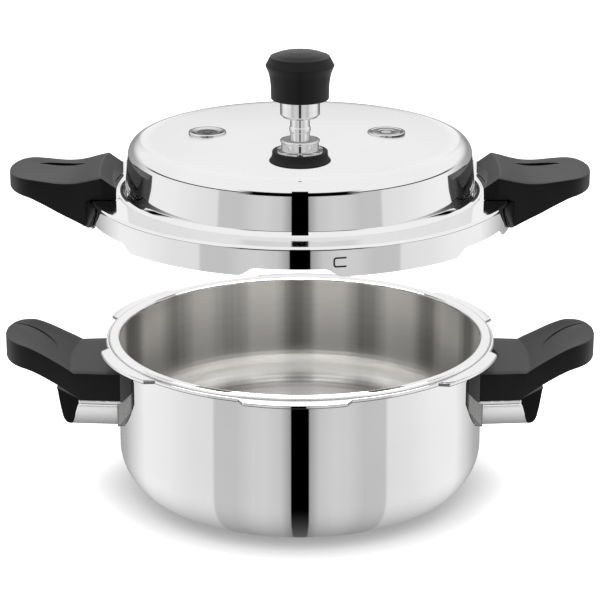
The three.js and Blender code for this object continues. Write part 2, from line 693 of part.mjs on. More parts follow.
function weightCap() {
  const core = WEIGHT_CORE_R + GAP;
  const skirt = COLLAR_R + GAP;
  const shelf = CAP_BOTTOM + 1.3 + GAP;
  const roof = WEIGHT_TOP + GAP;
  const waist = CAP_WIDE_Z - CAP_BOTTOM;
  const crown = CAP_TOP - CAP_DOME_Z;
  return turned([
    [0, roof],
    [core, roof],
    [core, shelf],
    [skirt, shelf],
    [skirt, CAP_BOTTOM],
    [CAP_FOOT_R - 0.6, CAP_BOTTOM],
    [CAP_FOOT_R, CAP_BOTTOM + 0.6],
    [CAP_FOOT_R + 0.3, CAP_BOTTOM + waist * 0.42],
    [CAP_FOOT_R + 1.1, CAP_BOTTOM + waist * 0.76],
    [CAP_WIDE_R - 0.6, CAP_WIDE_Z - 1.4],
    [CAP_WIDE_R, CAP_WIDE_Z],
    [CAP_DOME_R, CAP_DOME_Z],
    [CAP_DOME_R * 0.72, CAP_DOME_Z + crown * 0.57],
    [CAP_DOME_R * 0.36, CAP_DOME_Z + crown * 0.9],
    [0, CAP_TOP],
  ], DISC_TURN);
}

function weightPin() {
  const needle = [[0, PIN_BOTTOM], [0.5, PIN_BOTTOM], [PIN_R, PIN_BOTTOM + 2], [PIN_R, PIN_TOP]];
  return turned([...needle, [0, PIN_TOP]], PIN_TURN);
}

// Stepped disc on the crown with a hollow shank through it
function plugBody() {
  const bore = PLUG_CORE_R + BORE_GAP;
  const low = FITTING_H * 0.55;
  const disc = turned([
    [bore, -2],
    [FITTING_R, -2],
    [FITTING_R, FITTING_H - 0.6],
    [FITTING_R - 0.6, FITTING_H],
    [FITTING_R * 0.78, FITTING_H],
    [FITTING_R * 0.74, low],
    [FITTING_R * 0.66, low],
    [FITTING_R * 0.62, FITTING_H - 0.3],
    [FITTING_R * 0.46, FITTING_H - 0.3],
    [FITTING_R * 0.43, low],
    [bore, low],
  ], DISC_TURN).subtract(belowCrown(PLUG_X, FITTING_Y));
  const shank = turned([[bore, SHANK_END], [PLUG_SHANK_R, SHANK_END], [PLUG_SHANK_R, 0.8], [bore, 0.8]]);
  return disc.add(shank);
}

function plugCore() {
  return turned([[0, SHANK_END], [PLUG_CORE_R, SHANK_END], [PLUG_CORE_R, 1.3], [1.6, 1.7], [0, 1.7]]);
}

function indicatorBezel() {
  const bore = INDICATOR_R + BORE_GAP;
  const disc = turned([
    [bore, -2],
    [FITTING_R, -2],
    [FITTING_R, FITTING_H - 0.6],
    [FITTING_R - 0.8, FITTING_H],
    [FITTING_R - 2, FITTING_H - 0.3],
    [FITTING_R * 0.6, FITTING_H / 2],
    [bore + 0.8, 0.8],
    [bore, 0.8],
  ], DISC_TURN).subtract(belowCrown(INDICATOR_X, FITTING_Y));
  const shank = turned([[bore, SHANK_END], [BEZEL_SHANK_R, SHANK_END], [BEZEL_SHANK_R, 0.7], [bore, 0.7]]);
  return disc.add(shank);
}

function indicatorPin() {
  const end = SHANK_END - INDICATOR_RISE - CLIP_H - 3 * GAP - 1.5;
  return turned([[0, end], [INDICATOR_R, end], [INDICATOR_R, 0], [INDICATOR_R - 0.6, 0.5], [0, 0.5]], PIN_TURN);
}

function indicatorClip() {
  const top = SHANK_END - INDICATOR_RISE - GAP;
  const bore = INDICATOR_R + GAP;
  return turned([[bore, top - CLIP_H], [CLIP_R, top - CLIP_H], [CLIP_R, top], [bore, top]]);
}

function panSide(side) {
  const group = new THREE.Group();
  const bolt = mesh(`pan_handle_screw_${side}`, screw(SCREW_R, SCREW_HEAD_R, SCREW_HEAD_H,
    HANDLE_BASE + SCREW_BITE - BRACKET_BOTTOM + SCREW_HEAD_H + GAP), alloy);
  bolt.position.set(SCREW_X, 0, BRACKET_BOTTOM - GAP - SCREW_HEAD_H);
  group.add(mesh(`pan_bracket_${side}`, panBracket(), polished));
  group.add(mesh(`pan_handle_${side}`, panHandle(), bakelite));
  group.add(bolt);
  if (side === 'left') group.rotation.z = Math.PI;
  return group;
}

function lidSide(side) {
  const group = new THREE.Group();
  const length = LID_SCREW_END - LID_SCREW_HEAD_Z;
  const bolt = mesh(`lid_handle_screw_${side}`,
    screw(LID_SCREW_R, LID_SCREW_HEAD_R, LID_SCREW_HEAD_H, length), alloy);
  bolt.position.set(LID_SCREW_X, 0, LID_SCREW_HEAD_Z);
  group.add(mesh(`lid_bracket_${side}`, lidBracket(), polished));
  group.add(mesh(`lid_handle_${side}`, lidHandle(), bakelite));
  group.add(bolt);
  if (side === 'left') group.rotation.z = Math.PI;
  return group;
}

// Group for a fitting, at its place on the crown
function onCrown(x, y, pieces) {
  const group = new THREE.Group();
  group.position.set(x, y, crownZ(Math.hypot(x, y)));
  group.add(...pieces);
  return group;
}

function lid() {
  const group = new THREE.Group();
  group.position.z = LID_Z;
  group.add(mesh('lid_shell', lidShell(), polished));
  group.add(mesh('gasket', gasket(), rubber));
  group.add(lidSide('left'), lidSide('right'));
  group.add(onCrown(0, VENT_Y, [
    mesh('vent_base_ring', ventBaseRing(), rubber),
    mesh('vent_pipe', ventPipe(), polished),
    mesh('vent_washer', ventWasher(), polished),
    mesh('vent_collar', ventCollar(), polished),
    mesh('vent_nut', crownNut(STEM_SHANK_R, 0, VENT_Y), alloy),
    mesh('weight_body', weightBody(), polished),
    mesh('weight_cap', weightCap(), bakelite),
    mesh('weight_pin', weightPin(), alloy),
  ]));
  group.add(onCrown(PLUG_X, FITTING_Y, [
    mesh('safety_plug_body', plugBody(), alloy),
    mesh('safety_plug_core', plugCore(), alloy),
    mesh('safety_plug_nut', crownNut(PLUG_SHANK_R, PLUG_X, FITTING_Y), alloy),
  ]));
  group.add(onCrown(INDICATOR_X, FITTING_Y, [
    mesh('indicator_bezel', indicatorBezel(), polished),
    mesh('indicator_pin', indicatorPin(), alloy),
    mesh('indicator_clip', indicatorClip(), alloy),
    mesh('indicator_nut', crownNut(BEZEL_SHANK_R, INDICATOR_X, FITTING_Y), alloy),
  ]));
  return group;
}

const pressurePan = new THREE.Group();
pressurePan.name = 'pressure_pan';
pressurePan.add(mesh('pan_body', panBody(), polished));
pressurePan.add(panSide('left'), panSide('right'));
pressurePan.add(lid());

export default pressurePan;
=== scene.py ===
import math

import bmesh
import bpy
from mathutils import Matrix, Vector


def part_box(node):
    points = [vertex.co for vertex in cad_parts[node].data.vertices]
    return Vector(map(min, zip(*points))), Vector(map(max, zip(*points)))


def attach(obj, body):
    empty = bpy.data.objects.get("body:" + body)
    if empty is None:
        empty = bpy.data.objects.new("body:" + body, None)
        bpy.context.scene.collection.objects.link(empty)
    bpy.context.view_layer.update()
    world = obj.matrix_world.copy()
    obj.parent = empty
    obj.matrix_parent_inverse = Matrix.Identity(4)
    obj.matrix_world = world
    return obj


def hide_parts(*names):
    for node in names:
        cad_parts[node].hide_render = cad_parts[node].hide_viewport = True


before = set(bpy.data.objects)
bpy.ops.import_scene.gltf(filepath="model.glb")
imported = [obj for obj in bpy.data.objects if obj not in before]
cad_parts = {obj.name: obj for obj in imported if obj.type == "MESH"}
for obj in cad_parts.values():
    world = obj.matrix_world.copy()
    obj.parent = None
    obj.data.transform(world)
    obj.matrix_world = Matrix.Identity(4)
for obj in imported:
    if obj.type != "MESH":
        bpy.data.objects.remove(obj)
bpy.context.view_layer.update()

bl_info = {
    "name": "Pressure Pan",
    "version": (1, 0, 0),
    "blender": (4, 5, 0),
    "location": "3D View > Sidebar > Pressure Pan",
    "description": "Models a pressure pan with a raised outer lid around its packed frame",
    "category": "Add Mesh",
}

MM = 0.001

# Pan, in mm from its axis and from the floor
WALL = 100  # outside of the wall
INSIDE = 98.8
WALL_CLEAR = 100.3  # what stands on the wall starts here
FLANGE = 106.4  # outer edge of the rim's flange, between the tabs
FLANGE_FOOT = 85.5
FLANGE_TOP = 87.5
RIM_TOP = 88.9
BASE = 2.4  # thickness of the pan's base
TAB_HALF = 16  # half of a tab's root, in degrees
TAB_END_HALF = 13.8  # half of its outer edge, in degrees
TAB_TURN = -1.4  # degrees from the front to the first tab, towards the right

# Lid, in mm from its axis and from the top of its flange
HANDLE_DROP = 14.8  # from the flange down to the foot of the lid handles
LID_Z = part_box("lid_handle_left")[0].z / MM + HANDLE_DROP  # height of the flange's top
LID_TURN = TAB_TURN - 1.2  # degrees from the front to the first notch
SKIRT = 114.1  # outside of the skirt
SKIRT_INSIDE = 112.9
SKIRT_CLEAR = 114.4  # what stands on the skirt starts here
SKIRT_FOOT = -15.5
SHEET = 1.2  # thickness of the crown
TONGUE_ANGLE = 10  # degrees from the front to the release tongue
STEM = (0, -52)
PLUG = (46.4, 4.7)
INDICATOR = (-49.8, 4.7)


def crown_height(radius):
    """Height of the crown's top over the flange at a distance from the axis."""
    return 29.5 - 2.3 * (radius / 83) ** 2


CROWN_AT_STEM = LID_Z + crown_height(52)
CROWN_AT_FITTING = LID_Z + crown_height(50)

# Fineness of the meshes
GRIP_COLUMNS = 10  # faces across a handle
STRIP_COLUMNS = 14  # faces along a strip on a round wall


# Modelling by hand

def object_mode():
    if bpy.context.mode != "OBJECT":
        bpy.ops.object.mode_set(mode="OBJECT")


def select_all():
    bpy.ops.mesh.select_all(action="SELECT")


def begin(name, adder=bpy.ops.mesh.primitive_plane_add, **settings):
    """Adds a primitive by itself and leaves it in edit mode."""
    object_mode()
    bpy.ops.object.select_all(action="DESELECT")
    adder(**settings)
    piece = bpy.context.object
    piece.name = piece.data.name = name
    bpy.ops.object.mode_set(mode="EDIT")
    bpy.ops.mesh.select_mode(type="VERT")
    return piece


def activate(piece, mode="OBJECT"):
    object_mode()
    bpy.ops.object.select_all(action="DESELECT")
    piece.select_set(True)
    bpy.context.view_layer.objects.active = piece
    bpy.ops.object.mode_set(mode=mode)


def pick(test, kind="FACE"):
    """Selects the faces, edges or corners of the mesh in edit mode that pass a test."""
    bpy.ops.mesh.select_mode(type=kind)
    bpy.ops.mesh.select_all(action="DESELECT")
    data = bpy.context.object.data
    mesh = bmesh.from_edit_mesh(data)
    items = {"VERT": mesh.verts, "EDGE": mesh.edges, "FACE": mesh.faces}[kind]
    chosen = [item for item in items if test(item)]
    for item in chosen:
        item.select_set(True)
    mesh.select_flush_mode()
    bmesh.update_edit_mesh(data)
    return len(chosen)


def spot(face):
    """Middle of a face or an edge as radius, angle in degrees from the front, and height, in mm."""
    if isinstance(face, bmesh.types.BMVert):
        middle = face.co
    elif isinstance(face, bmesh.types.BMEdge):
        middle = (face.verts[0].co + face.verts[1].co) / 2
    else:
        middle = face.calc_center_median()
    radius = math.hypot(middle.x, middle.y)
    return radius / MM, math.degrees(math.atan2(middle.x, -middle.y)), middle.z / MM


def outward(face):
    """How far a face looks away from the pan's axis, from -1 to 1."""
    return face.normal.xy.dot(face.calc_center_median().xy.normalized())


def off(angle, at, repeat=60):
    """Signed angle to the nearest of a ring of like places."""
    return (angle - at + repeat / 2) % repeat - repeat / 2


def move(x=0, y=0, z=0):
    bpy.ops.transform.translate(value=(x * MM, y * MM, z * MM))


def scale(x, y, z, centre=(0, 0, 0)):
    bpy.ops.transform.resize(value=(x, y, z), center_override=[c * MM for c in centre])


def swing(angle):
    """Turns what is selected about the pan's axis, counter-clockwise from above, in degrees."""
    bpy.ops.transform.rotate(value=-math.radians(angle), orient_axis="Z", center_override=(0, 0, 0))


def extrude(x=0, y=0, z=0):
    bpy.ops.mesh.extrude_region_move(TRANSFORM_OT_translate={"value": (x * MM, y * MM, z * MM)})


def thread(name, points):
    """Starts a piece as one corner and extrudes it through points in mm."""
    piece = begin(name, size=MM)
    bpy.ops.mesh.merge(type="COLLAPSE")
    move(*points[0])
    for a, b in zip(points, points[1:]):
        step = [(q - p) * MM for p, q in zip(a, b)]
        bpy.ops.mesh.extrude_vertices_move(TRANSFORM_OT_translate={"value": step})
    return piece


def clean():
    select_all()
    bpy.ops.mesh.remove_doubles(threshold=2e-6)
    bpy.ops.mesh.normals_make_consistent(inside=False)


def rounded(corners, guard=0.35):
    """Line of radius and height pairs whose corners are rounded by their third number.

    A straight run gets a point close to each round, so that its shading stays flat.
    """
    spots = [Vector(c[:2]) for c in corners]
    line = [(spots[0], False)]
    for before, corner_at, after, corner in zip(spots, spots[1:], spots[2:], corners[1:]):
        if len(corner) < 3:
            line.append((corner_at, False))
            continue
        radius = corner[2]
        back = (before - corner_at).normalized()
        on = (after - corner_at).normalized()
        half = back.angle(on) / 2
        centre = corner_at + (back + on).normalized() * radius / math.sin(half)
        first = corner_at + back * radius / math.tan(half) - centre
        last = corner_at + on * radius / math.tan(half) - centre
        bits = max(3, min(28, round(2 + radius * 1.2)))
        line += [(centre + radius * first.slerp(last, k / bits).normalized(), True)
                 for k in range(bits + 1)]
    line.append((spots[-1], False))
    fine = [spots[0]]
    for (a, a_round), (b, b_round) in zip(line, line[1:]):
        reach = guard * (b - a).normalized()
        if (b - a).length > 6 * guard:
            fine += [a + reach] * a_round + [b - reach] * b_round
        fine.append(b)
    return fine


def turn(name, corners, steps=192, at=(0, 0, 0)):
    """Spins a rounded line of radius and height pairs about a vertical axis."""
    piece = thread(name, [(r, 0, z) for r, z in rounded(corners)])
    select_all()
    bpy.ops.mesh.spin(steps=steps, angle=math.tau, center=(0, 0, 0), axis=(0, 0, 1))
    clean()
    select_all()
    move(*at)
    return piece


def blended(rows, steps):
    """Rows of numbers with smooth rows put between them."""
    fine = []
    for i in range(len(rows) - 1):
        a, b, c, d = (rows[max(0, min(len(rows) - 1, i + k))] for k in (-1, 0, 1, 2))
        for k in range(steps):
            t = k / steps
            fine.append([0.5 * (2 * q + (r - p) * t + (2 * p - 5 * q + 4 * r - s) * t * t
                                + (3 * q - p - 3 * r + s) * t ** 3)
                         for p, q, r, s in zip(a, b, c, d)])
    return fine + [list(rows[-1])]


def bowed(t):
    """Setback of a bowed row at a share of its half width, from 0 in the middle."""
    return 1 - math.sqrt(1 - (0.97 * t) ** 2)


def loft(name, rows):
    """Solid grip along X from rows of corner, bow, half width, top and bottom, in mm."""
    rows = [(x + bow * bowed(1), bow, *rest) for x, bow, *rest in rows]
    middle, bow, half, top, bottom = rows[0]
    shares = [2 * k / GRIP_COLUMNS - 1 for k in range(GRIP_COLUMNS + 1)]
    upper = [(middle - bow * bowed(t), half * t, top) for t in shares]
    lower = [(x, y, bottom) for x, y, _ in reversed(upper)]
    piece = thread(name, upper + lower)
    pick(lambda v: abs(v.co.y + half * MM) < 1e-7, "VERT")
    bpy.ops.mesh.edge_face_add()
    select_all()
    for a, b in zip(rows, rows[1:]):
        extrude(b[0] - a[0], 0, (b[3] + b[4] - a[3] - a[4]) / 2)
        scale(b[1] / a[1], b[2] / a[2], (b[3] - b[4]) / (a[3] - a[4]), (b[0], 0, (b[3] + b[4]) / 2))
    halfway = (rows[0][0] + rows[-1][0]) / 2 * MM
    for far in (False, True):
        def level(edge):
            a, b = (v.co for v in edge.verts)
            return edge.is_boundary and abs(a.z - b.z) < 1e-7 and (a.x > halfway) == far
        pick(level, "EDGE")
        bpy.ops.mesh.bridge_edge_loops()
    clean()
    return piece


def soften(test, width, segments=3, sharp=40):
    """Bevels the sharp edges that pass a test."""
    limit = math.radians(sharp)

    def sharp_edge(edge):
        return len(edge.link_faces) == 2 and edge.calc_face_angle() > limit and test(edge)
    if pick(sharp_edge, "EDGE"):
        bpy.ops.mesh.bevel(offset=width * MM, offset_type="OFFSET", segments=segments, profile=0.5,
                           affect="EDGES", clamp_overlap=True)


def faces_up(edge):
    return max(f.normal.z for f in edge.link_faces) > 0.4


def faces_down(edge):
    return min(f.normal.z for f in edge.link_faces) < -0.3


def carve(piece, tool, operation="DIFFERENCE"):
    """Cuts a piece with a tool, or keeps what they share or both, and takes the tool away."""
    activate(piece)
    change = piece.modifiers.new("cut", "BOOLEAN")
    change.object = tool
    change.operation = operation
    change.solver = "EXACT"
    bpy.ops.object.modifier_apply(modifier=change.name)
    bpy.data.objects.remove(tool, do_unlink=True)


def thicken(piece, thickness, offset):
    activate(piece)
    change = piece.modifiers.new("thickness", "SOLIDIFY")
    change.thickness = thickness * MM
    change.offset = offset
    bpy.ops.object.modifier_apply(modifier=change.name)


def merge(piece, *others):
    """Joins other objects into a piece as loose parts of it."""
    activate(piece)
    for other in others:
        other.select_set(True)
    bpy.ops.object.join()


def mirror_copy(piece, name):
    """A copy on the other side of the pan, with a mesh of its own."""
    activate(piece)
    bpy.ops.object.duplicate(linked=False)
    copy = bpy.context.object
    copy.name = copy.data.name = name
    bpy.ops.object.mode_set(mode="EDIT")
    select_all()
    scale(-1, 1, 1)
    bpy.ops.mesh.flip_normals()
    object_mode()
    return copy


def paint(piece, look, test=None):
    """Gives a piece a finish, or only those of its faces that pass a test."""
    material = finish(look)
    if material.name not in piece.data.materials:
        piece.data.materials.append(material)
    if test is None:
        return
    activate(piece, "EDIT")
    pick(test)
    piece.active_material_index = piece.data.materials.find(material.name)
    bpy.ops.object.material_slot_assign()
    object_mode()


def settle(piece, body, node, angle=35, mirrored=True):
    """Finishes a piece: its shading, its place in the frame and the node that it stands for."""
    piece.visible_glossy = mirrored
    activate(piece)
    bpy.ops.object.transform_apply(location=True, rotation=True, scale=True)
    bpy.ops.object.shade_smooth_by_angle(angle=math.radians(angle))
    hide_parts(node)
    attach(piece, body)


def settle_pair(right, body, node, angle, mirrored=True):
    """Mirrors a right-hand piece and finishes both for the nodes on their sides."""
    left = mirror_copy(right, f"{node}_left")
    for side, piece in (("right", right), ("left", left)):
        settle(piece, body, f"{node}_{side}", angle, mirrored)


# Materials

class Value:
    """A shader socket that takes part in sums, each of which adds a Math node."""

    def __init__(self, tree, socket):
        self.tree = tree
        self.socket = socket

    def node(self, kind, settings=None, output=0, **inputs):
        """Adds a node: its settings first, then the values or links of its inputs."""
        node = self.tree.nodes.new("ShaderNode" + kind)
        for name, value in (settings or {}).items():
            if name == "stops":
                stops = node.color_ramp.elements
                for place, shade in value:
                    ends = {0: stops[0], 1: stops[-1]}
                    stop = ends.get(place) or stops.new(place)
                    stop.color = (shade, shade, shade, 1)
            else:
                setattr(node, name, value)
        for name, value in inputs.items():
            key = int(name[1:]) if name[0] == "_" else name.replace("__", " ")
            if isinstance(value, Value):
                self.tree.links.new(value.socket, node.inputs[key])
            else:
                node.inputs[key].default_value = value
        return Value(self.tree, node.outputs[output])

    def math(self, operation, *terms):
        inputs = {f"_{i}": term for i, term in enumerate(terms)}
        return self.node("Math", {"operation": operation}, **inputs)

    def __add__(self, other):
        return self.math("ADD", self, other)

    def __sub__(self, other):
        return self.math("SUBTRACT", self, other)

    def __rsub__(self, other):
        return self.math("SUBTRACT", other, self)

    def __mul__(self, other):
        return self.math("MULTIPLY", self, other)

    def __truediv__(self, other):
        return self.math("DIVIDE", self, other)

    def __pow__(self, other):
        return self.math("POWER", self, other)

    __radd__ = __add__
    __rmul__ = __mul__

    def step(self, low, high):
        """Smooth rise from 0 at low to 1 at high."""
        return self.node("MapRange", {"interpolation_type": "SMOOTHSTEP"}, Value=self,
                         From__Min=low, From__Max=high)

    def mix(self, a, b):
        """Colour a where this value is 0 and colour b where it is 1."""
        return self.node("Mix", {"data_type": "RGBA"}, 2, _0=self, _6=a, _7=b)


class Finish:
    """A material with its Principled shader and its Object coordinates."""

    def __init__(self, name):
        self.material = bpy.data.materials.new(name)
        self.material.use_nodes = True
        tree = self.material.node_tree
        self.shader = tree.nodes["Principled BSDF"]
        place = tree.nodes.new("ShaderNodeTexCoord")
        self.place = Value(tree, place.outputs["Object"])
        split = self.place.node("SeparateXYZ", Vector=self.place).socket.node
        self.x, self.y, self.z = (Value(tree, o) for o in split.outputs)

    def noise(self, size, detail=3, stretch=(1, 1, 1), vector=None):
        """Grain whose features are about this many metres across."""
        where = self.place.node("Mapping", Vector=vector or self.place, Scale=stretch)
        return self.place.node("TexNoise", Vector=where, Scale=1 / size, Detail=detail,
                               Roughness=0.55)

    def bump(self, height, strength, distance):
        normal = self.place.node("Bump", Height=height, Strength=strength,
                                 Distance=distance)
        self.feed("Normal", normal)

    def tint(self, value, low, high, base, share):
        """Base Color that runs from a colour to a share of it as a value rises."""
        other = [c * share for c in base]
        self.feed("Base Color", value.step(low, high).mix((*base, 1), (*other, 1)))

    def feed(self, name, value):
        socket = self.shader.inputs[name]
        if isinstance(value, Value):
            value.tree.links.new(value.socket, socket)
        else:
            socket.default_value = value

    def set(self, **values):
        for name, value in values.items():
            self.feed(name.replace("__", " "), value)


def grey(value, warm=0.0):
    return (value * (1 + warm), value, value * (1 - 1.3 * warm), 1)


def polished_steel(f, settings, softer=0.0):
    """Polished steel with faint buffing haze, rougher by a further value."""
    haze = f.noise(0.05, 4)
    wisps = f.noise(0.0025, 2, (1, 1, 0.12))
    f.tint(haze, 0.35, 0.75, settings.steel_colour, 0.965)
    f.feed("Roughness", settings.polish + 0.014 * haze.step(0.4, 0.8) + 0.008 * wisps + softer)
    f.set(Metallic=1.0)


def lid_mirror(f, settings):
    """Polished steel of the lid, softer on its crown."""
    radius = (f.x * f.x + f.y * f.y) ** 0.5
    flange = radius.step(0.0965, 0.0975) * (1 - radius.step(0.1125, 0.1135))
    polished_steel(f, settings, 0.26 - 0.26 * radius.step(0.078, 0.087) + 0.07 * flange)


def satin_steel_painted_light(f, settings):
    """Inside of the pan: fine brushing that runs round the axis, with upright streaks of painted
    reflection, a painted highlight band low on the wall and painted shade on its floor.
    """
    radius = (f.x * f.x + f.y * f.y) ** 0.5
    rings = f.place.node("CombineXYZ", X=radius, Y=f.z, Z=0.0)
    lines = f.noise(0.0006, 2, vector=rings)
    # The upright streaks, set by the bearing round the axis, are painted reflection: lighter and
    # darker bands in the colour.
    bearing = f.place.node("CombineXYZ", X=f.x / radius, Y=f.y / radius, Z=0.0)
    painted_streak_broad = f.noise(0.36, 1.5, vector=bearing)
    fine = f.noise(0.05, 2, vector=bearing)
    turned = f.place.math("ARCTAN2", f.x, f.y)
    painted_streak_waves = 0.5 - 0.5 * f.place.math("COSINE", turned * (360 / 24.5))
    base = settings.satin_colour
    dark = [c * 0.3 for c in base]
    painted_streak_tone = 0.3 * painted_streak_waves + 0.52 * painted_streak_broad + 0.12 * fine + 0.06 * lines
    wall = painted_streak_tone.step(0.28, 0.62).mix((*dark, 1), (*base, 1))
    # A near-white band where the wall rounds into the floor is a painted highlight.
    bend = f.z.step(0.026, 0.034) * (1 - f.z.step(0.037, 0.05))
    with_painted_highlight = (0.8 * bend).mix(wall, (0.98, 0.97, 0.95, 1))
    # The floor's much darker colour is painted shade; the floor is the same steel as the wall.
    floor = [c * 0.085 for c in base]
    f.feed("Base Color", (0.97 - 0.97 * f.z.step(0.024, 0.032)).mix(with_painted_highlight, (*floor, 1)))
    f.feed("Roughness", 0.27 + 0.1 * lines)
    f.set(Metallic=1.0, Anisotropic=0.7)
    f.bump(lines, 0.05, 0.0002)


def grey_steel_and_painted_shade(f, settings):
    """Darker steel of the tabs' cut ends, and painted shade on the crease along the rim and on the
    brackets' wings and hems.
    """
    grain = f.noise(0.0012, 3)
    f.feed("Base Color", grain.step(0.3, 0.7).mix(grey(0.2, 0.01), grey(0.28, 0.01)))
    f.feed("Roughness", 0.26 + 0.1 * grain)
    f.set(Metallic=0.6)


def brushed_steel_painted_shade(f, settings):
    """Brushed face of the brackets, with painted shade that makes it darker towards its lower fold.
    """
    brushed = f.noise(0.0008, 2, (0.1, 0.1, 1))
    # Painted shade: the colour runs from grey at the foot to near full brightness higher up.
    f.feed("Base Color", f.z.step(0.0455, 0.0555).mix(grey(0.4), grey(0.98)))
    f.feed("Roughness", 0.16 + 0.1 * brushed)
    f.set(Metallic=0.45)


def bakelite(f, settings):
    """Black moulded plastic with a fine satin texture."""
    grain = f.noise(0.0007, 3)
    cloud = f.noise(0.03, 3)
    f.tint(cloud, 0.35, 0.7, settings.plastic_colour, 1.35)
    f.feed("Roughness", settings.plastic_gloss + 0.06 * grain + 0.05 * cloud)
    f.set(Specular__IOR__Level=0.22)
    f.bump(grain, 0.12, 0.0003)


def black_rubber(f, settings):
    grain = f.noise(0.0009, 4)
    f.tint(grain, 0.3, 0.75, settings.rubber_colour, 1.6)
    f.feed("Roughness", 0.62 + 0.2 * grain)
    f.set(Specular__IOR__Level=0.3)
    f.bump(grain, 0.2, 0.0003)


def chrome(f, settings):
    """Turned and polished fittings."""
    lines = f.noise(0.0007, 2, (0.08, 0.08, 1))
    f.tint(lines, 0.3, 0.75, settings.chrome_colour, 0.93)
    f.feed("Roughness", 0.05 + 0.05 * lines)
    f.set(Metallic=1.0, Specular__Tint=grey(0.15))


def turned_alloy(f, settings):
    """Plain turned metal of nuts and fittings."""
    lines = f.noise(0.0008, 3)
    f.tint(lines, 0.3, 0.75, settings.alloy_colour, 0.8)
    f.feed("Roughness", 0.28 + 0.12 * lines)
    f.set(Metallic=1.0)
    f.bump(lines, 0.08, 0.0002)


# Darker metal of the frame's pins and clips, and painted shade under the rim, in the tongue's
# groove and in the fittings' grooves.
def dark_metal_and_painted_shade(f, settings):
    lines = f.noise(0.0008, 3)
    f.feed("Base Color", lines.step(0.3, 0.75).mix(grey(0.07), grey(0.11)))
    f.feed("Roughness", 0.34 + 0.15 * lines)
    f.set(Metallic=1.0)


FINISHES = {make.__name__: make for make in (
    polished_steel, lid_mirror, grey_steel_and_painted_shade, brushed_steel_painted_shade, satin_steel_painted_light, bakelite, black_rubber,
    chrome, turned_alloy, dark_metal_and_painted_shade)}


def finish(name):
    """The named finish, made the first time that a piece asks for it."""
    found = bpy.data.materials.get(name)
    if found is None:
        new = Finish(name)
        FINISHES[name](new, bpy.context.scene.pan_finishes)
        found = new.material
    return found


# Settings

def length(label, words, default):
    return bpy.props.FloatProperty(name=label, description=words, default=default * MM,
                                   unit="LENGTH")


def factor(label, words, default):
    return bpy.props.FloatProperty(name=label, description=words, default=default, min=0, max=1,
                                   subtype="FACTOR")


def colour(label, words, default):
    return bpy.props.FloatVectorProperty(name=label, description=words, default=default, size=3,
                                         min=0, max=1, subtype="COLOR")


class PanSizes(bpy.types.PropertyGroup):
    """Sizes of the pan and its handles."""
    bottom_round: length("Bottom Round", "Radius of the pan's lower edge", 28)
    tab_reach: length("Tab Reach", "How far the locking tabs stand out from the wall", 12.1)
    edge_round: length("Handle Edge Round", "Radius of the handles' upper edges", 1.0)


class LidSizes(bpy.types.PropertyGroup):
    """Sizes of the lid and its fittings."""
    shoulder_round: length("Shoulder Round", "Radius between the crown and the dome's wall", 9)
    notch_rise: length("Notch Rise", "Height of the notches in the skirt", 4.2)
    lip_reach: length("Lip Reach", "How far the lugs reach under the tabs", 5.5)
    petals: bpy.props.IntProperty(name="Petals", description="Petals of the spread washer",
                                  default=8, min=4, max=12)


class PanFinishes(bpy.types.PropertyGroup):
    """Colours and gloss of the pan's materials."""
    steel_colour: colour("Steel", "Polished steel", (0.86, 0.86, 0.865))
    satin_colour: colour("Satin Steel", "Turned steel inside the pan", (0.92, 0.906, 0.884))
    chrome_colour: colour("Chrome", "Stem and collars", (0.86, 0.86, 0.86))
    alloy_colour: colour("Alloy", "Nuts and the safety plug", (0.6, 0.6, 0.58))
    plastic_colour: colour("Plastic", "Handles and cap", (0.0045, 0.0045, 0.005))
    rubber_colour: colour("Rubber", "Gasket and base ring", (0.008, 0.008, 0.008))
    polish: factor("Polish", "Roughness of the polished steel", 0.012)
    plastic_gloss: factor("Plastic Roughness", "Roughness of the plastic", 0.31)


class StageSettings(bpy.types.PropertyGroup):
    """Camera, floor and light."""
    lens: bpy.props.FloatProperty(name="Lens", description="Focal length in millimetres",
                                  default=146.58)
    distance: length("Distance", "From the pan's axis to the camera", 1272.4)
    height: length("Height", "Of the camera over the floor", 523.9)
    pitch: bpy.props.FloatProperty(name="Pitch", description="Downward tilt of the camera",
                                   default=math.radians(18.13), subtype="ANGLE")
    floor_colour: colour("Floor", "Floor and background", (0.76, 0.76, 0.76))


# Pan

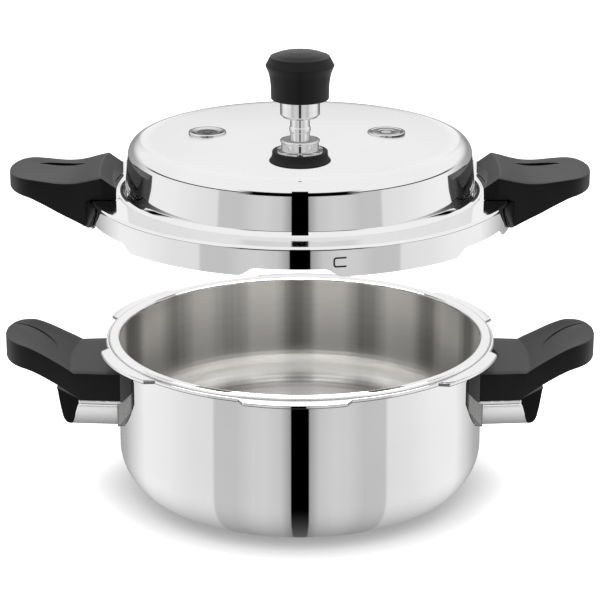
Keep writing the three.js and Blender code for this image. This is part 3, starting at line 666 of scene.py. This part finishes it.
class PanShell(bpy.types.Operator):
    """Turns the pan's body, raises its rim and draws out its locking tabs"""
    bl_idname = "pan.shell"
    bl_label = "Pan Shell"

    def execute(self, context):
        sizes = context.scene.pan_sizes
        bottom = sizes.bottom_round / MM
        reach = sizes.tab_reach / MM
        pan = turn("pan_shell", [
            (0, 0), (WALL, 0, bottom), (WALL, FLANGE_FOOT, 1.6), (FLANGE, FLANGE_FOOT, 0.5),
            (FLANGE, FLANGE_TOP, 0.5), (104.9, FLANGE_TOP, 0.35), (104.5, RIM_TOP, 0.7),
            (INSIDE, RIM_TOP, 1.5), (INSIDE, BASE, 44), (0, BASE),
        ], 360)
        for _ in range(6):
            self.tab(WALL + reach)
            select_all()
            swing(60)
        soften(lambda e: spot(e)[0] > 107, 0.45, 3)
        select_all()
        swing(TAB_TURN)
        object_mode()
        paint(pan, "polished_steel")
        # Painted reflection, highlight and shade inside the pan.
        paint(pan, "satin_steel_painted_light", self.inside)
        paint(pan, "brushed_steel_painted_shade", self.rise)
        # Painted shade on the rim's crease; the tabs' cut ends are darker steel.
        paint(pan, "grey_steel_and_painted_shade", self.cut_ends_and_painted_crease_shade)
        # Painted shade under the flange and the tabs.
        paint(pan, "dark_metal_and_painted_shade", self.under)
        settle(pan, "pan", "pan_body")
        return {"FINISHED"}

    @staticmethod
    def inside(face):
        radius, _, height = spot(face)
        within = radius < INSIDE + 0.05 and height < FLANGE_TOP - 0.5
        return within and (face.normal.z > 0.3 or outward(face) < -0.3)

    @staticmethod
    def rise(face):
        """The small step up from the flange to the rim."""
        radius, _, height = spot(face)
        return 104 < radius < 105.3 and FLANGE_TOP + 0.1 < height < RIM_TOP - 0.15

    @staticmethod
    def cut_ends_and_painted_crease_shade(face):
        """The tabs' cut ends, and the crease along the rim, whose darker colour there is painted
        shade.
        """
        radius, _, height = spot(face)
        end = radius > FLANGE + 0.2 and height < FLANGE_TOP - 0.2
        cut = end and outward(face) < 0.85 and abs(face.normal.z) < 0.5
        return cut or (104.6 < radius < 105.3 and -0.1 < height - FLANGE_TOP < 0.35)

    @staticmethod
    def under(face):
        """The lower edges of the flange and the tabs, painted darker as painted shade."""
        radius, _, height = spot(face)
        return radius > FLANGE - 1 and height < FLANGE_FOOT + 0.8 and face.normal.z < -0.2

    @staticmethod
    def tab(outer):
        """Draws one tab out of the flange at the front."""
        def edge(face):
            radius, angle, height = spot(face)
            level = FLANGE_FOOT - 0.1 < height < FLANGE_TOP + 0.1
            return radius > FLANGE - 0.5 and abs(angle) < TAB_HALF + 0.1 and level
        pick(edge)
        extrude()
        share = outer / FLANGE
        scale(share, share, 1)
        narrow = math.sin(math.radians(TAB_END_HALF)) / math.sin(math.radians(TAB_HALF))
        scale(narrow, 1, 1)


def wall_tool(top):
    """What the handles and brackets keep clear of: the pan's wall."""
    return turn("wall_tool", [(0, 40), (WALL_CLEAR, 40), (WALL_CLEAR, top), (0, top)])


class PanHandles(bpy.types.Operator):
    """Models one pan handle with its leg and wings and mirrors it to the other side"""
    bl_idname = "pan.handles"
    bl_label = "Pan Handles"

    def execute(self, context):
        edge = context.scene.pan_sizes.edge_round / MM
        base = [(93, 4.4, 31.4, 74.9, 59.6), (101, 4.4, 30.9, 74.9, 59.6),
                (113, 4.4, 30.0, 74.9, 59.6), (119, 4.4, 29.5, 74.9, 59.7),
                (122.2, 4.4, 29.25, 74.9, 62.0)]
        grip = [(122.6, 4.4, 29.2, 75.0, 62.3), (126.4, 4.4, 28.4, 77.4, 64.7),
                (131, 4.4, 27.4, 80.0, 67.3), (137.2, 4.6, 26.4, 83.5, 70.7),
                (142.8, 5.6, 25.4, 86.3, 73.5), (147.6, 6.2, 24.3, 88.2, 75.3),
                (152.0, 5.0, 22.3, 89.0, 76.1), (155.6, 3.6, 19.3, 89.45, 76.7),
                (158.1, 2.4, 15.7, 89.6, 77.1), (159.7, 1.4, 11.8, 89.65, 77.4),
                (160.8, 0.9, 8.0, 89.6, 77.6)]
        handle = loft("pan_handle_right", base + blended(grip, 3))
        soften(lambda e: faces_up(e) and spot(e)[0] > 100, edge)
        soften(lambda e: faces_down(e) and spot(e)[0] > 128, 1.2, 4)
        soften(lambda e: faces_down(e) and spot(e)[0] > 100, 0.7, 2)
        carve(handle, thumb_rest(handle, (150.5, 0), (17.6, 14.2), (152, 5), (3.4, 3), 128))
        carve(handle, wall_tool(95))
        carve(handle, begin("pocket", bpy.ops.mesh.primitive_cylinder_add, vertices=96,
                            radius=27 * MM, depth=20 * MM, location=(83 * MM, 0, 82.6 * MM)))
        leg = self.leg()
        merge(handle, leg, *(make(side) for make in (self.wing, self.liner) for side in (1, -1)))
        paint(handle, "bakelite")
        settle_pair(handle, "pan", "pan_handle", 24, False)
        return {"FINISHED"}

    @staticmethod
    def leg():
        """Leg behind the bracket, with a fine parting line to the grip."""
        side = [(119.2, 59.4), (123.6, 46.4), (125.6, 46.6), (126.4, 46.9), (127.4, 47.8),
                (128.2, 49.0), (128.8, 50.6), (129.8, 55.5), (131.3, 63.5), (132.1, 66.8)]
        leg = thread("leg", [(x, -30, z) for x, z in side])
        select_all()
        bpy.ops.mesh.edge_face_add()
        extrude(0, 60, 0)
        clean()
        pick(lambda v: v.co.z > 59 * MM, "VERT")
        scale(1, 0.937, 1)
        soften(lambda e: abs(abs(e.verts[0].co.y) - abs(e.verts[1].co.y)) < 1e-6, 0.6, 2)
        return leg

    @staticmethod
    def wing(side):
        """Cheek along the pan's wall, its lower edge swept up to its end."""
        return wall_strip("wing", WALL_CLEAR, (103.6, 101.4), 20.6, 27.6, side,
                          lambda y: 59.9 + 0.16 * max(0, y - 33) ** 1.6, lambda y: 77.5)

    @staticmethod
    def liner(side):
        """Thin plate on the wall behind the cheek and the bracket's wing."""
        return wall_strip("liner", WALL_CLEAR, (101.2, 100.9), 14.5, 28.1, side,
                          lambda y: sweep(y) + 0.5, lambda y: 76.5)


class PanBrackets(bpy.types.Operator):
    """Folds one polished bracket with its lip and wings and mirrors it to the other side"""
    bl_idname = "pan.brackets"
    bl_label = "Pan Brackets"

    def execute(self, context):
        bracket = self.tray()
        carve(bracket, wall_tool(80))
        merge(bracket, *(make(side) for make in (self.wing, self.hem) for side in (1, -1)))
        paint(bracket, "polished_steel")
        # The bracket's face below its lip gets the painted shade towards its foot.
        paint(bracket, "brushed_steel_painted_shade", lambda f: spot(f)[2] < 56.9)
        # Painted shade on the wings and hems.
        paint(bracket, "grey_steel_and_painted_shade", self.wings_and_hems_painted_shade)
        settle_pair(bracket, "pan", "pan_bracket", 40, False)
        return {"FINISHED"}

    @staticmethod
    def tray():
        """Folded sheet with a crowned front, a slanted end and a rolled lip."""
        foot, tip, half = 45.9, 124.6, 29.6
        tray = thread("pan_bracket_right", [(90, -32.4, foot), (tip, -half, foot),
                                            (tip, half, foot), (90, 32.4, foot)])
        pick(lambda v: v.co.x > 0.12, "VERT")
        bpy.ops.mesh.bevel(offset=1.4 * MM, segments=4, affect="VERTICES")
        select_all()
        levels = [(foot, 2.0), (46.1, 1.3), (46.6, 0.75), (47.5, 0.4), (49.0, 0.15), (51.0, 0.03),
                  (53.2, 0), (55.5, 0), (56.6, 0), (57.1, 0.2), (57.5, 0.5), (57.9, 0.5),
                  (58.2, 0.1), (58.4, -0.5), (58.6, -0.75), (59.35, -0.75)]
        end, front = tip, half
        for k, (z, inset) in enumerate(levels):
            if k:
                extrude(0, 0, z - levels[k - 1][0])
            new_end = tip - 0.36 * (z - foot) - 0.4 * inset
            new_front = half - inset
            scale((new_end - 96) / (end - 96), new_front / front, 1, (96, 0, 0))
            end, front = new_end, new_front
        pick(lambda e: all(abs(v.co.z - foot * MM) < 1e-7 for v in e.verts), "EDGE")
        bpy.ops.mesh.edge_face_add()
        clean()
        thicken(tray, 0.4, -1)
        return tray

    @staticmethod
    def wing(side):
        return wall_strip("wing", WALL_CLEAR, (104.3, 101.3), 19.1, 26.6, side, sweep,
                          lambda y: 59.4 + 0.215 * max(0, y - 33.6) ** 1.57)

    @staticmethod
    def hem(side):
        """Folded hem between the front and the wing; its darker colour is painted shade."""
        return wall_strip("hem", WALL_CLEAR, (104.2, 104.6), 18.1, 19.3, side,
                          lambda y: 46.2, lambda y: 58.9)

    # The wings and hems, which stand against the wall, are painted darker as painted shade.
    @staticmethod
    def wings_and_hems_painted_shade(face):
        radius, angle, _ = spot(face)
        return 100.35 < radius < 104.7 and abs(abs(abs(angle) - 90) - 22.5) < 4.6


def sweep(y):
    """Height of the lower edge of a bracket's wing."""
    along = max(0, y - 33.9)
    return 46.7 + 0.62 * along + 0.045 * along ** 2


def wall_strip(name, inner, outer, start, end, side, low, high):
    """Strip along a round wall between two angles from X.

    Its outer radius runs from the first to the second of a pair. Its edges' heights vary with Y.
    """
    aside = 200
    corners = [(inner, 50), (outer[0], 50), (outer[0], 51), (inner, 51), (inner, 50)]
    piece = thread(name, [(r, 0, z) for r, z in corners])
    select_all()
    bpy.ops.mesh.remove_doubles(threshold=1e-6)
    select_all()
    swing(start * side)
    bpy.ops.mesh.spin(steps=STRIP_COLUMNS, angle=math.radians(start - end) * side,
                      center=(0, 0, 0), axis=(0, 0, 1))

    def bearing(column):
        return math.radians(start + (end - start) * column / STRIP_COLUMNS) * side

    def on(vert, column):
        return abs(math.atan2(vert.co.y, vert.co.x) - bearing(column)) < 1e-4

    for column in (0, STRIP_COLUMNS):
        pick(lambda e: e.is_boundary and all(on(v, column) for v in e.verts), "EDGE")
        bpy.ops.mesh.edge_face_add()
    clean()
    for column in range(STRIP_COLUMNS + 1):
        reach = outer[0] + (outer[1] - outer[0]) * column / STRIP_COLUMNS
        pick(lambda v: on(v, column) and v.co.xy.length > (inner + 0.2) * MM, "VERT")
        scale(reach / outer[0], reach / outer[0], 1)
        y = abs(reach * math.sin(bearing(column)))
        # A placed lower edge waits far below, so that the upper one isn't taken for it
        for level, height, wait in ((50, low(y), aside), (51, high(y), 0)):
            pick(lambda v: on(v, column) and abs(v.co.z - level * MM) < 1e-6, "VERT")
            move(0, 0, height - level - wait)
    pick(lambda v: v.co.z < 0, "VERT")
    move(0, 0, aside)
    soften(lambda e: True, 0.25, 2)
    return piece


def thumb_rest(handle, middle, radii, pivot, tilt, start):
    """Cutter for a thumb rest: the handle's top, tilted about a pivot and trimmed to an oval."""
    activate(handle, "EDIT")
    pick(lambda f: f.normal.z > 0.6 and f.calc_center_median().x > start * MM)
    bpy.ops.mesh.duplicate()
    bpy.ops.mesh.separate(type="SELECTED")
    object_mode()
    sheet = [o for o in bpy.context.selected_objects if o != handle][0]
    tops = [v.co.z for v in sheet.data.vertices
            if math.hypot(v.co.x - pivot[0] * MM, v.co.y - pivot[1] * MM) < 4 * MM]
    centre = (pivot[0] * MM, pivot[1] * MM, sum(tops) / len(tops))
    activate(sheet, "EDIT")
    select_all()
    for axis, angle in zip("XY", tilt):
        bpy.ops.transform.rotate(value=math.radians(angle), orient_axis=axis,
                                 center_override=centre)
    extrude(0, 0, 12)
    clean()
    oval = begin("oval", bpy.ops.mesh.primitive_cylinder_add, vertices=96, radius=MM, depth=0.08)
    scale(radii[0], radii[1], 1)
    move(middle[0], middle[1], centre[2] / MM)
    carve(sheet, oval, "INTERSECT")
    return sheet


# Lid

class LidShell(bpy.types.Operator):
    """Turns the lid, notches its skirt, folds its lips and cuts its tongue and holes"""
    bl_idname = "pan.lid"
    bl_label = "Lid Shell"

    def execute(self, context):
        sizes = context.scene.lid_sizes
        lid = turn("lid_shell_piece", self.line(sizes.shoulder_round / MM), 360)
        self.notches(sizes.notch_rise / MM)
        self.lips(sizes.lip_reach / MM)
        select_all()
        swing(LID_TURN)
        select_all()
        move(0, 0, LID_Z)
        tools = [self.tongue()]
        for radius, x, y in ((1.25, -95.6, -23.7), (4.7, *STEM), (5.8, *PLUG), (5.3, *INDICATOR)):
            tools.append(begin("hole", bpy.ops.mesh.primitive_cylinder_add, vertices=48,
                               radius=radius * MM, depth=0.06,
                               location=(x * MM, y * MM, (LID_Z + 10) * MM)))
        merge(*tools)
        carve(lid, tools[0])
        paint(lid, "lid_mirror")
        paint(lid, "satin_steel_painted_light", self.inside)
        # Painted shade in the tongue's groove.
        paint(lid, "dark_metal_and_painted_shade", self.slot_with_painted_shade)
        settle(lid, "lid", "lid_shell")
        return {"FINISHED"}

    @staticmethod
    def line(shoulder):
        """Section of the lid from the top of its crown to the skirt's foot and back inside."""
        crown = [(r, crown_height(r)) for r in range(0, 80, 6)]
        outside = crown + [
            (84.6, 27.12), (91.9, 26.2, shoulder * 0.86), (94.1, 2.4, 0.8), (95, 0.3, 1.2),
            (96.8, -0.8, 1.5), (98.6, 0, 1.6), (SKIRT, 0, 1.8), (SKIRT, SKIRT_FOOT)]
        inside = [
            (SKIRT_INSIDE, SKIRT_FOOT), (SKIRT_INSIDE, -14.1), (SKIRT_INSIDE, -SHEET, 1),
            (97.6, -SHEET, 1), (96.4, -2.0, 1), (93.6, -0.8, 1), (92.9, 2.4, 1),
            (90.8, 25.0, shoulder * 0.75), (84.4, 25.9)]
        return rounded(outside) + rounded(inside + [(r, z - SHEET) for r, z in crown[::-1]])

    @staticmethod
    def notches(rise):
        """Raises the foot of the skirt at each notch, with ramped sides."""
        for degree in range(0, 13):
            share = min(1, max(0, (13 - degree) / 3.4)) ** 1.3
            pick(lambda v: spot(v)[2] < -13 and round(abs(off(spot(v)[1], 0))) == degree, "VERT")
            move(0, 0, rise * share)

    @staticmethod
    def lips(reach):
        """Folds a lip inwards at the foot of each lug."""
        def foot(face):
            radius, angle, height = spot(face)
            low = radius < 113 and height < -14
            return low and abs(off(angle, 30)) < 12.5 and abs(face.normal.z) < 0.3
        pick(foot)
        extrude()
        share = 1 - reach / SKIRT_INSIDE
        scale(share, share, 1)

    @staticmethod
    def tongue():
        """Bracket-shaped cutter for the groove round the gasket's release tongue."""
        points = rounded([
            (3.4, -2.7), (-3.3, -2.7, 1.5), (-3.3, 2.7, 1.5), (3.4, 2.7), (3.4, 1.8),
            (-2.4, 1.8, 0.7), (-2.4, -1.8, 0.7), (3.4, -1.8)])
        tool = thread("tongue_tool", [(x, -120, z - 7.9 + LID_Z) for x, z in points])
        select_all()
        bpy.ops.mesh.edge_face_add()
        extrude(0, 6.6, 0)
        clean()
        select_all()
        swing(TONGUE_ANGLE)
        return tool

    @staticmethod
    def slot_with_painted_shade(face):
        """Walls and floor of the groove round the release tongue, painted darker as painted shade.
        """
        radius, angle, height = spot(face)
        near = radius > 113.3 and abs(angle - TONGUE_ANGLE) < 3 and -12 < height - LID_Z < -4
        return near and (abs(outward(face)) < 0.4 or radius < 113.8)

    @staticmethod
    def inside(face):
        radius, _, height = spot(face)
        low = height - LID_Z
        if radius > 113.2:
            return False
        if radius > 96:
            return face.normal.z < -0.5 or low < -1
        return face.normal.z < -0.2 or outward(face) < 0


class LidHandles(bpy.types.Operator):
    """Models one lid handle with its cheek and mirrors it to the other side"""
    bl_idname = "pan.lid_handles"
    bl_label = "Lid Handles"

    def execute(self, context):
        edge = context.scene.pan_sizes.edge_round / MM
        foot = -HANDLE_DROP
        heel = [(92.2, 3, 27.6, 2.9, foot), (104.3, 3, 27.6, 11.6, foot)]
        grip = [(104.9, 3, 27.6, 11.9, foot), (108.7, 3, 27.3, 11.1, foot),
                (113.5, 3, 26.8, 9.9, foot), (116.7, 3, 26.4, 9.2, -13.26),
                (121.6, 3.1, 25.9, 8.5, -10.85), (128.3, 3.6, 25.4, 8.5, -7.48),
                (134.5, 4.6, 24.9, 9.2, -4.1), (142.8, 5.2, 24.0, 10.2, 0.0),
                (146.9, 4.2, 22.6, 10.5, 1.1), (150.2, 3.1, 19.8, 10.6, 1.8),
                (152.6, 2.1, 16.0, 10.55, 2.2), (154.2, 1.3, 12.0, 10.5, 2.5),
                (155.2, 0.9, 8.2, 10.4, 2.8)]
        rows = [(c, b, h, t + LID_Z, u + LID_Z) for c, b, h, t, u in heel + blended(grip, 3)]
        handle = loft("lid_handle_right", rows)
        soften(lambda e: faces_up(e) and spot(e)[0] > 100 and not self.ridge(e), edge)
        soften(self.ridge, 1.6, 4, 15)
        soften(lambda e: faces_down(e) and spot(e)[0] > 146, 1.4, 4)
        soften(faces_down, 1.9, 1)
        carve(handle, thumb_rest(handle, (129, 6), (15, 11.5), (129, 12), (22, 0), 112))
        carve(handle, self.flange())
        merge(handle, self.cheek(1), self.cheek(-1))
        paint(handle, "bakelite")
        settle_pair(handle, "lid", "lid_handle", 32)
        return {"FINISHED"}

    @staticmethod
    def ridge(edge):
        """Across the handle, where the heel meets the grip."""
        a, b = (v.co for v in edge.verts)
        across = abs(a.x - b.x) < abs(a.y - b.y)
        return across and a.x < 109 * MM and spot(edge)[2] > LID_Z + 10.5

    @staticmethod
    def flange():
        """What the handle keeps clear of: the skirt, the flange and the dome."""
        return turn("flange_tool", [
            (0, LID_Z - 20), (SKIRT_CLEAR, LID_Z - 20), (SKIRT_CLEAR, LID_Z + 0.3),
            (101, LID_Z + 0.3), (101, LID_Z + 30), (0, LID_Z + 30)])

    @staticmethod
    def cheek(side):
        """Plate along the skirt, its lower edge swept up to its end."""
        foot = LID_Z - HANDLE_DROP
        return wall_strip("cheek", SKIRT_CLEAR, (117.2, 115), 12, 20.5, side,
                          lambda y: foot + 12.6 * max(0, (y - 28.5) / 12.4) ** 1.5,
                          lambda y: LID_Z - 0.6)


class GasketRing(bpy.types.Operator):
    """Turns the rubber gasket inside the lid"""
    bl_idname = "pan.gasket"
    bl_label = "Gasket"

    def execute(self, context):
        low, high = (corner.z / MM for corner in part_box("gasket"))
        mid = (low + high) / 2
        gasket = turn("gasket_ring_piece", [
            (97, high - 0.5), (98.2, high, 0.6), (111.4, high, 0.8), (112, mid, 2),
            (111.4, low, 0.8), (98.2, low, 0.6), (97, low + 0.5, 0.3), (108.4, mid, 1.2),
            (97, high - 0.5)], 180)
        object_mode()
        paint(gasket, "black_rubber")
        settle(gasket, "gasket_ring", "gasket", mirrored=False)
        return {"FINISHED"}


class VentStem(bpy.types.Operator):
    """Turns the base ring, the spread washer, the collar and the vent pipe"""
    bl_idname = "pan.vent"
    bl_label = "Vent Stem"

    def execute(self, context):
        foot = (*STEM, CROWN_AT_STEM)
        ring = turn("base_ring", [
            (12.6, -0.6), (16, -0.6), (16, 0.1, 0.2), (14.9, 1.5, 1.6), (14.4, 3.2, 3),
            (14.4, 5.3, 0.6), (13.2, 5.3, 0.4), (12.6, 4.6, 0.3), (12.6, -0.6)], 96, foot)
        pipe = turn("vent_stem", [
            (1.6, -13), (4.4, -13, 0.4), (4.4, 0.2), (9, 0.2), (9, 3.9, 0.3), (5.05, 3.9),
            (5.05, 15.0, 0.2), (5.45, 15.4, 0.2), (5.45, 17.6, 0.2), (5.05, 18.0, 0.2),
            (5.05, 22.4, 0.3), (3.4, 22.7, 0.3), (3.4, 32.6, 0.8), (1.6, 32.6), (1.6, -13)],
            96, foot)
        collar = turn("stem_collar", [
            (5.4, 5.7), (9.65, 5.7, 0.2), (9.65, 9.7, 0.15), (10.2, 10.2, 0.15),
            (10.2, 10.9, 0.2), (9.2, 11.1, 0.2), (5.4, 11.1, 0.2), (5.4, 5.7)], 96, foot)
        washer = self.washer(context.scene.lid_sizes.petals, foot)
        object_mode()
        pieces = ((ring, "black_rubber", "ring_rubber", "vent_base_ring"),
                  (pipe, "chrome", "stem_steel", "vent_pipe"),
                  (collar, "chrome", "stem_steel", "vent_collar"),
                  (washer, "chrome", "stem_steel", "vent_washer"))
        for piece, look, slot, node in pieces:
            paint(piece, look)
            settle(piece, "lid", node, mirrored=False)
        return {"FINISHED"}

    @staticmethod
    def washer(petals, foot):
        """Disc whose rim is drawn out into petals."""
        washer = turn("spread_washer", [(5.5, 4.2), (9.4, 4.2), (9.4, 5.2), (5.5, 5.4), (5.5, 4.2)],
                      petals * 12)
        share = 360 / petals

        def rim(face):
            radius, angle, _ = spot(face)
            return radius > 9.3 and abs(off(angle, share / 2, share)) < share * 0.36
        pick(rim)
        extrude()
        scale(1.28, 1.28, 1, (0, 0, 4.7))
        move(0, 0, 0.5)
        select_all()
        move(*foot)
        return washer


class Weight(bpy.types.Operator):
    """Turns the weight's steel body and its black cap"""
    bl_idname = "pan.weight"
    bl_label = "Weight"

    def execute(self, context):
        foot = (*STEM, CROWN_AT_STEM)
        body = turn("weight_collar", [
            (5.4, 23.1), (8.8, 23.1, 0.3), (10.2, 24.5, 0.25), (10.2, 33.8), (9, 33.8), (9, 48),
            (1.5, 48), (1.5, 33.8), (3.7, 33.8), (3.7, 24.6), (5.4, 23.9), (5.4, 23.1)], 96, foot)
        cap = turn("weight_cap_piece", [
            (0, 48.3), (9.3, 48.3), (9.3, 34.1), (10.5, 34.1), (10.5, 32.5), (14.9, 32.5, 0.5),
            (15.05, 39.8, 30), (15.9, 45.7, 14), (17.7, 49.95, 0.35), (15.3, 54.6, 0.35),
            (11.2, 56.2, 14), (5.6, 57.3, 24), (0, 57.6)], 128, foot)
        object_mode()
        paint(body, "chrome")
        settle(body, "weight", "weight_body", mirrored=False)
        paint(cap, "bakelite")
        settle(cap, "weight", "weight_cap", 28, False)
        return {"FINISHED"}


class Fittings(bpy.types.Operator):
    """Turns the safety plug and the pressure indicator on the crown"""
    bl_idname = "pan.fittings"
    bl_label = "Lid Fittings"

    def execute(self, context):
        plug_at = (*PLUG, CROWN_AT_FITTING)
        plug = turn("plug_disc", [
            (3.2, -8.5), (5.5, -8.5), (5.5, -0.3), (10.1, -0.3), (10.1, 1.0, 0.4), (8.7, 1.0, 0.12),
            (8.5, 0.6, 0.12), (7.9, 0.6, 0.12), (7.7, 0.95, 0.12), (4.6, 0.95, 0.12),
            (4.4, 0.6, 0.12), (3.2, 0.6), (3.2, -8.5)], 96, plug_at)
        core = turn("plug_core", [
            (0, -8.5), (2.9, -8.5), (2.9, 0.7, 0.2), (1.6, 0.95, 0.3), (0, 0.95)], 48, plug_at)
        bezel = turn("indicator_disc", [
            (2.5, -8.5), (5, -8.5), (5, -0.3), (10.1, -0.3), (10.1, 1.1, 0.5), (8.8, 1.1, 0.5),
            (6.8, 0.45, 1.2), (5.6, 0.4, 0.2), (4.9, 0.1, 0.2), (2.5, 0.1), (2.5, -8.5)],
            96, (*INDICATOR, CROWN_AT_FITTING))
        object_mode()
        pieces = ((plug, "chrome", "plug_metal", "safety_plug_body"),
                  (core, "turned_alloy", "plug_metal", "safety_plug_core"),
                  (bezel, "chrome", "indicator_steel", "indicator_bezel"))
        for piece, look, slot, node in pieces:
            paint(piece, look)
            if piece != core:
                # Painted shade in the plug's grooves and the indicator's dish.
                paint(piece, "dark_metal_and_painted_shade", self.sunk_with_painted_shade)
            settle(piece, "lid", node)
        return {"FINISHED"}

    @staticmethod
    def sunk_with_painted_shade(face):
        """Grooves of the plug and the middle of the indicator's dish, painted darker as painted
        shade.
        """
        place = face.calc_center_median() / MM
        low = -0.1 < place.z - CROWN_AT_FITTING < 0.66
        within = math.hypot(abs(place.x) - 48.1, place.y - PLUG[1]) < 9.8
        middle = math.hypot(place.x - INDICATOR[0], place.y - INDICATOR[1]) < 5.7
        return low and within and (place.x > 0 or middle)


class SmallMetal(bpy.types.Operator):
    """Gives the screws, nuts, clips and inner brackets of the frame their finishes"""
    bl_idname = "pan.small_metal"
    bl_label = "Small Metal"

    def execute(self, context):
        looks = {"bracket": "polished_steel", "screw": "turned_alloy", "nut": "turned_alloy",
                 "pin": "dark_metal_and_painted_shade", "clip": "dark_metal_and_painted_shade"}
        for name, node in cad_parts.items():
            if node.hide_render:
                continue
            look = next(look for word, look in looks.items() if word in name)
            node.data.materials.clear()
            node.data.materials.append(finish(look))
        return {"FINISHED"}


# Stage

class Stage(bpy.types.Operator):
    """Sets the camera, the floor, the lamp and the world"""
    bl_idname = "pan.stage"
    bl_label = "Stage"

    def execute(self, context):
        settings = context.scene.pan_stage
        context.scene.view_settings.view_transform = "Standard"
        self.camera(context, settings)
        self.floor(settings)
        self.lamp()
        self.world(context, settings)
        return {"FINISHED"}

    @staticmethod
    def camera(context, settings):
        bpy.ops.object.camera_add(location=(0, -settings.distance, settings.height),
                                  rotation=(math.pi / 2 - settings.pitch, 0, 0))
        camera = context.object
        camera.data.lens = settings.lens
        camera.data.sensor_fit = "HORIZONTAL"
        camera.data.sensor_width = 36
        context.scene.camera = camera

    @staticmethod
    def floor(settings):
        floor = begin("floor", size=8)
        object_mode()
        f = Finish("floor")
        f.set(Base__Color=(*settings.floor_colour, 1), Roughness=1, Specular__IOR__Level=0,
              Emission__Strength=1)
        seen = f.place.node("LightPath", output="Is Camera Ray")
        away = f.place.node("VectorMath", {"operation": "LENGTH"}, 1, _0=f.place)
        # The camera-ray glow fades towards the pan: a painted shadow round its foot, on top of the
        # real shadow.
        backdrop_with_painted_shadow = seen * (0.05 + 0.95 * away.step(0.075, 0.15))
        f.feed("Emission Color", backdrop_with_painted_shadow.mix((0, 0, 0, 1), (1, 1, 1, 1)))
        floor.data.materials.append(f.material)
        floor.visible_glossy = False

    @staticmethod
    def lamp():
        bpy.ops.object.light_add(type="AREA", location=(0, -0.1, 1.5))
        lamp = bpy.context.object
        lamp.data.energy = 9
        lamp.data.size = 1.6
        lamp.visible_glossy = False
        bpy.ops.object.light_add(type="AREA", location=(0, 0, 0.152))
        panel = bpy.context.object
        panel.data.shape = "DISK"
        panel.data.size = 0.17
        panel.data.energy = 0.4
        panel.visible_camera = False

    @staticmethod
    def world(context, settings):
        world = bpy.data.worlds.new("studio")
        world.use_nodes = True
        context.scene.world = world
        tree = world.node_tree
        ground = tree.nodes["Background"]
        place = tree.nodes.new("ShaderNodeTexCoord")
        way = Value(tree, place.outputs["Generated"])
        split = way.node("SeparateXYZ", Vector=way).socket.node
        x, y, z = (Value(tree, o) for o in split.outputs)
        turn_from_front = way.math("ARCTAN2", way.math("ABSOLUTE", x), -1 * y) / math.pi
        rise = way.math("ARCSINE", z) * (180 / math.pi)
        ahead_by = math.cos(settings.pitch) - y
        degrees = way.math("ARCTAN2", way.math("ABSOLUTE", x), ahead_by) * (360 / math.pi)
        lean = way.math("ARCTAN2", -1 * z - math.sin(settings.pitch),
                        (x * x + ahead_by * ahead_by) ** 0.5)
        shades = [(0, 0.0), (5.2, 0.0), (5.7, 0.38), (12, 0.65), (22, 0.72), (30, 0.7), (40, 0.61),
                  (54, 0.62), (56, 0.84), (72, 0.88), (90, 0.97), (105, 1.0), (114, 1.0),
                  (130, 0.72), (142, 0.5), (160, 0.38), (180, 0.34)]
        stops = [(bearing / 180, shade) for bearing, shade in shades]
        panels = way.node("ValToRGB", {"stops": stops}, Fac=degrees / 180)
        behind = (turn_from_front * 180).step(168, 174) * rise.step(3, 9)
        sky = way.math("MAXIMUM", rise.step(4, 22), behind)
        upper = sky.mix(panels, (1, 1, 1, 1))
        front = 1 - turn_from_front.step(0.3, 0.4)
        ahead = front * (1 - degrees.step(30, 44)) * rise.step(0, 3) * (1 - rise.step(23, 28))
        beside = (1 - turn_from_front.step(0.62, 0.72)) * rise.step(8, 10) * (1 - rise.step(13, 16))
        middle = front * (1 - degrees.step(5.2, 5.7)) * (1 - rise.step(34, 40))
        strips = way.math("MAXIMUM", way.math("MAXIMUM", ahead, beside), middle)
        gap = strips.mix(upper, (0, 0, 0, 1))
        below = 0.7 * (lean * (180 / math.pi)).step(6, 66)
        shown = below.mix(gap, (0.16, 0.16, 0.16, 1))
        glossy = way.node("LightPath", output="Is Glossy Ray")
        seen = glossy.mix((0.85, 0.85, 0.85, 1), shown)
        camera = way.node("LightPath", output="Is Camera Ray")
        tree.links.new(camera.mix(seen, (1, 1, 1, 1)).socket, ground.inputs["Color"])
        ground.inputs["Strength"].default_value = 1


OPERATORS = (PanShell, PanHandles, PanBrackets, LidShell, LidHandles, GasketRing, VentStem, Weight,
             Fittings, SmallMetal, Stage)


class PanPanel(bpy.types.Panel):
    """Lists the pieces of the pan"""
    bl_idname = "VIEW3D_PT_pressure_pan"
    bl_label = "Pressure Pan"
    bl_space_type = "VIEW_3D"
    bl_region_type = "UI"
    bl_category = "Pressure Pan"

    def draw(self, context):
        for operator in OPERATORS:
            self.layout.operator(operator.bl_idname)


GROUPS = {"pan_sizes": PanSizes, "lid_sizes": LidSizes, "pan_finishes": PanFinishes,
          "pan_stage": StageSettings}


def register():
    for cls in (*GROUPS.values(), *OPERATORS, PanPanel):
        bpy.utils.register_class(cls)
    for name, group in GROUPS.items():
        setattr(bpy.types.Scene, name, bpy.props.PointerProperty(type=group))


def unregister():
    for name in GROUPS:
        delattr(bpy.types.Scene, name)
    for cls in (PanPanel, *reversed(OPERATORS), *GROUPS.values()):
        bpy.utils.unregister_class(cls)


def main():
    register()
    for operator in OPERATORS:
        group, name = operator.bl_idname.split(".")
        getattr(getattr(bpy.ops, group), name)()


if __name__ == "__main__":
    main()
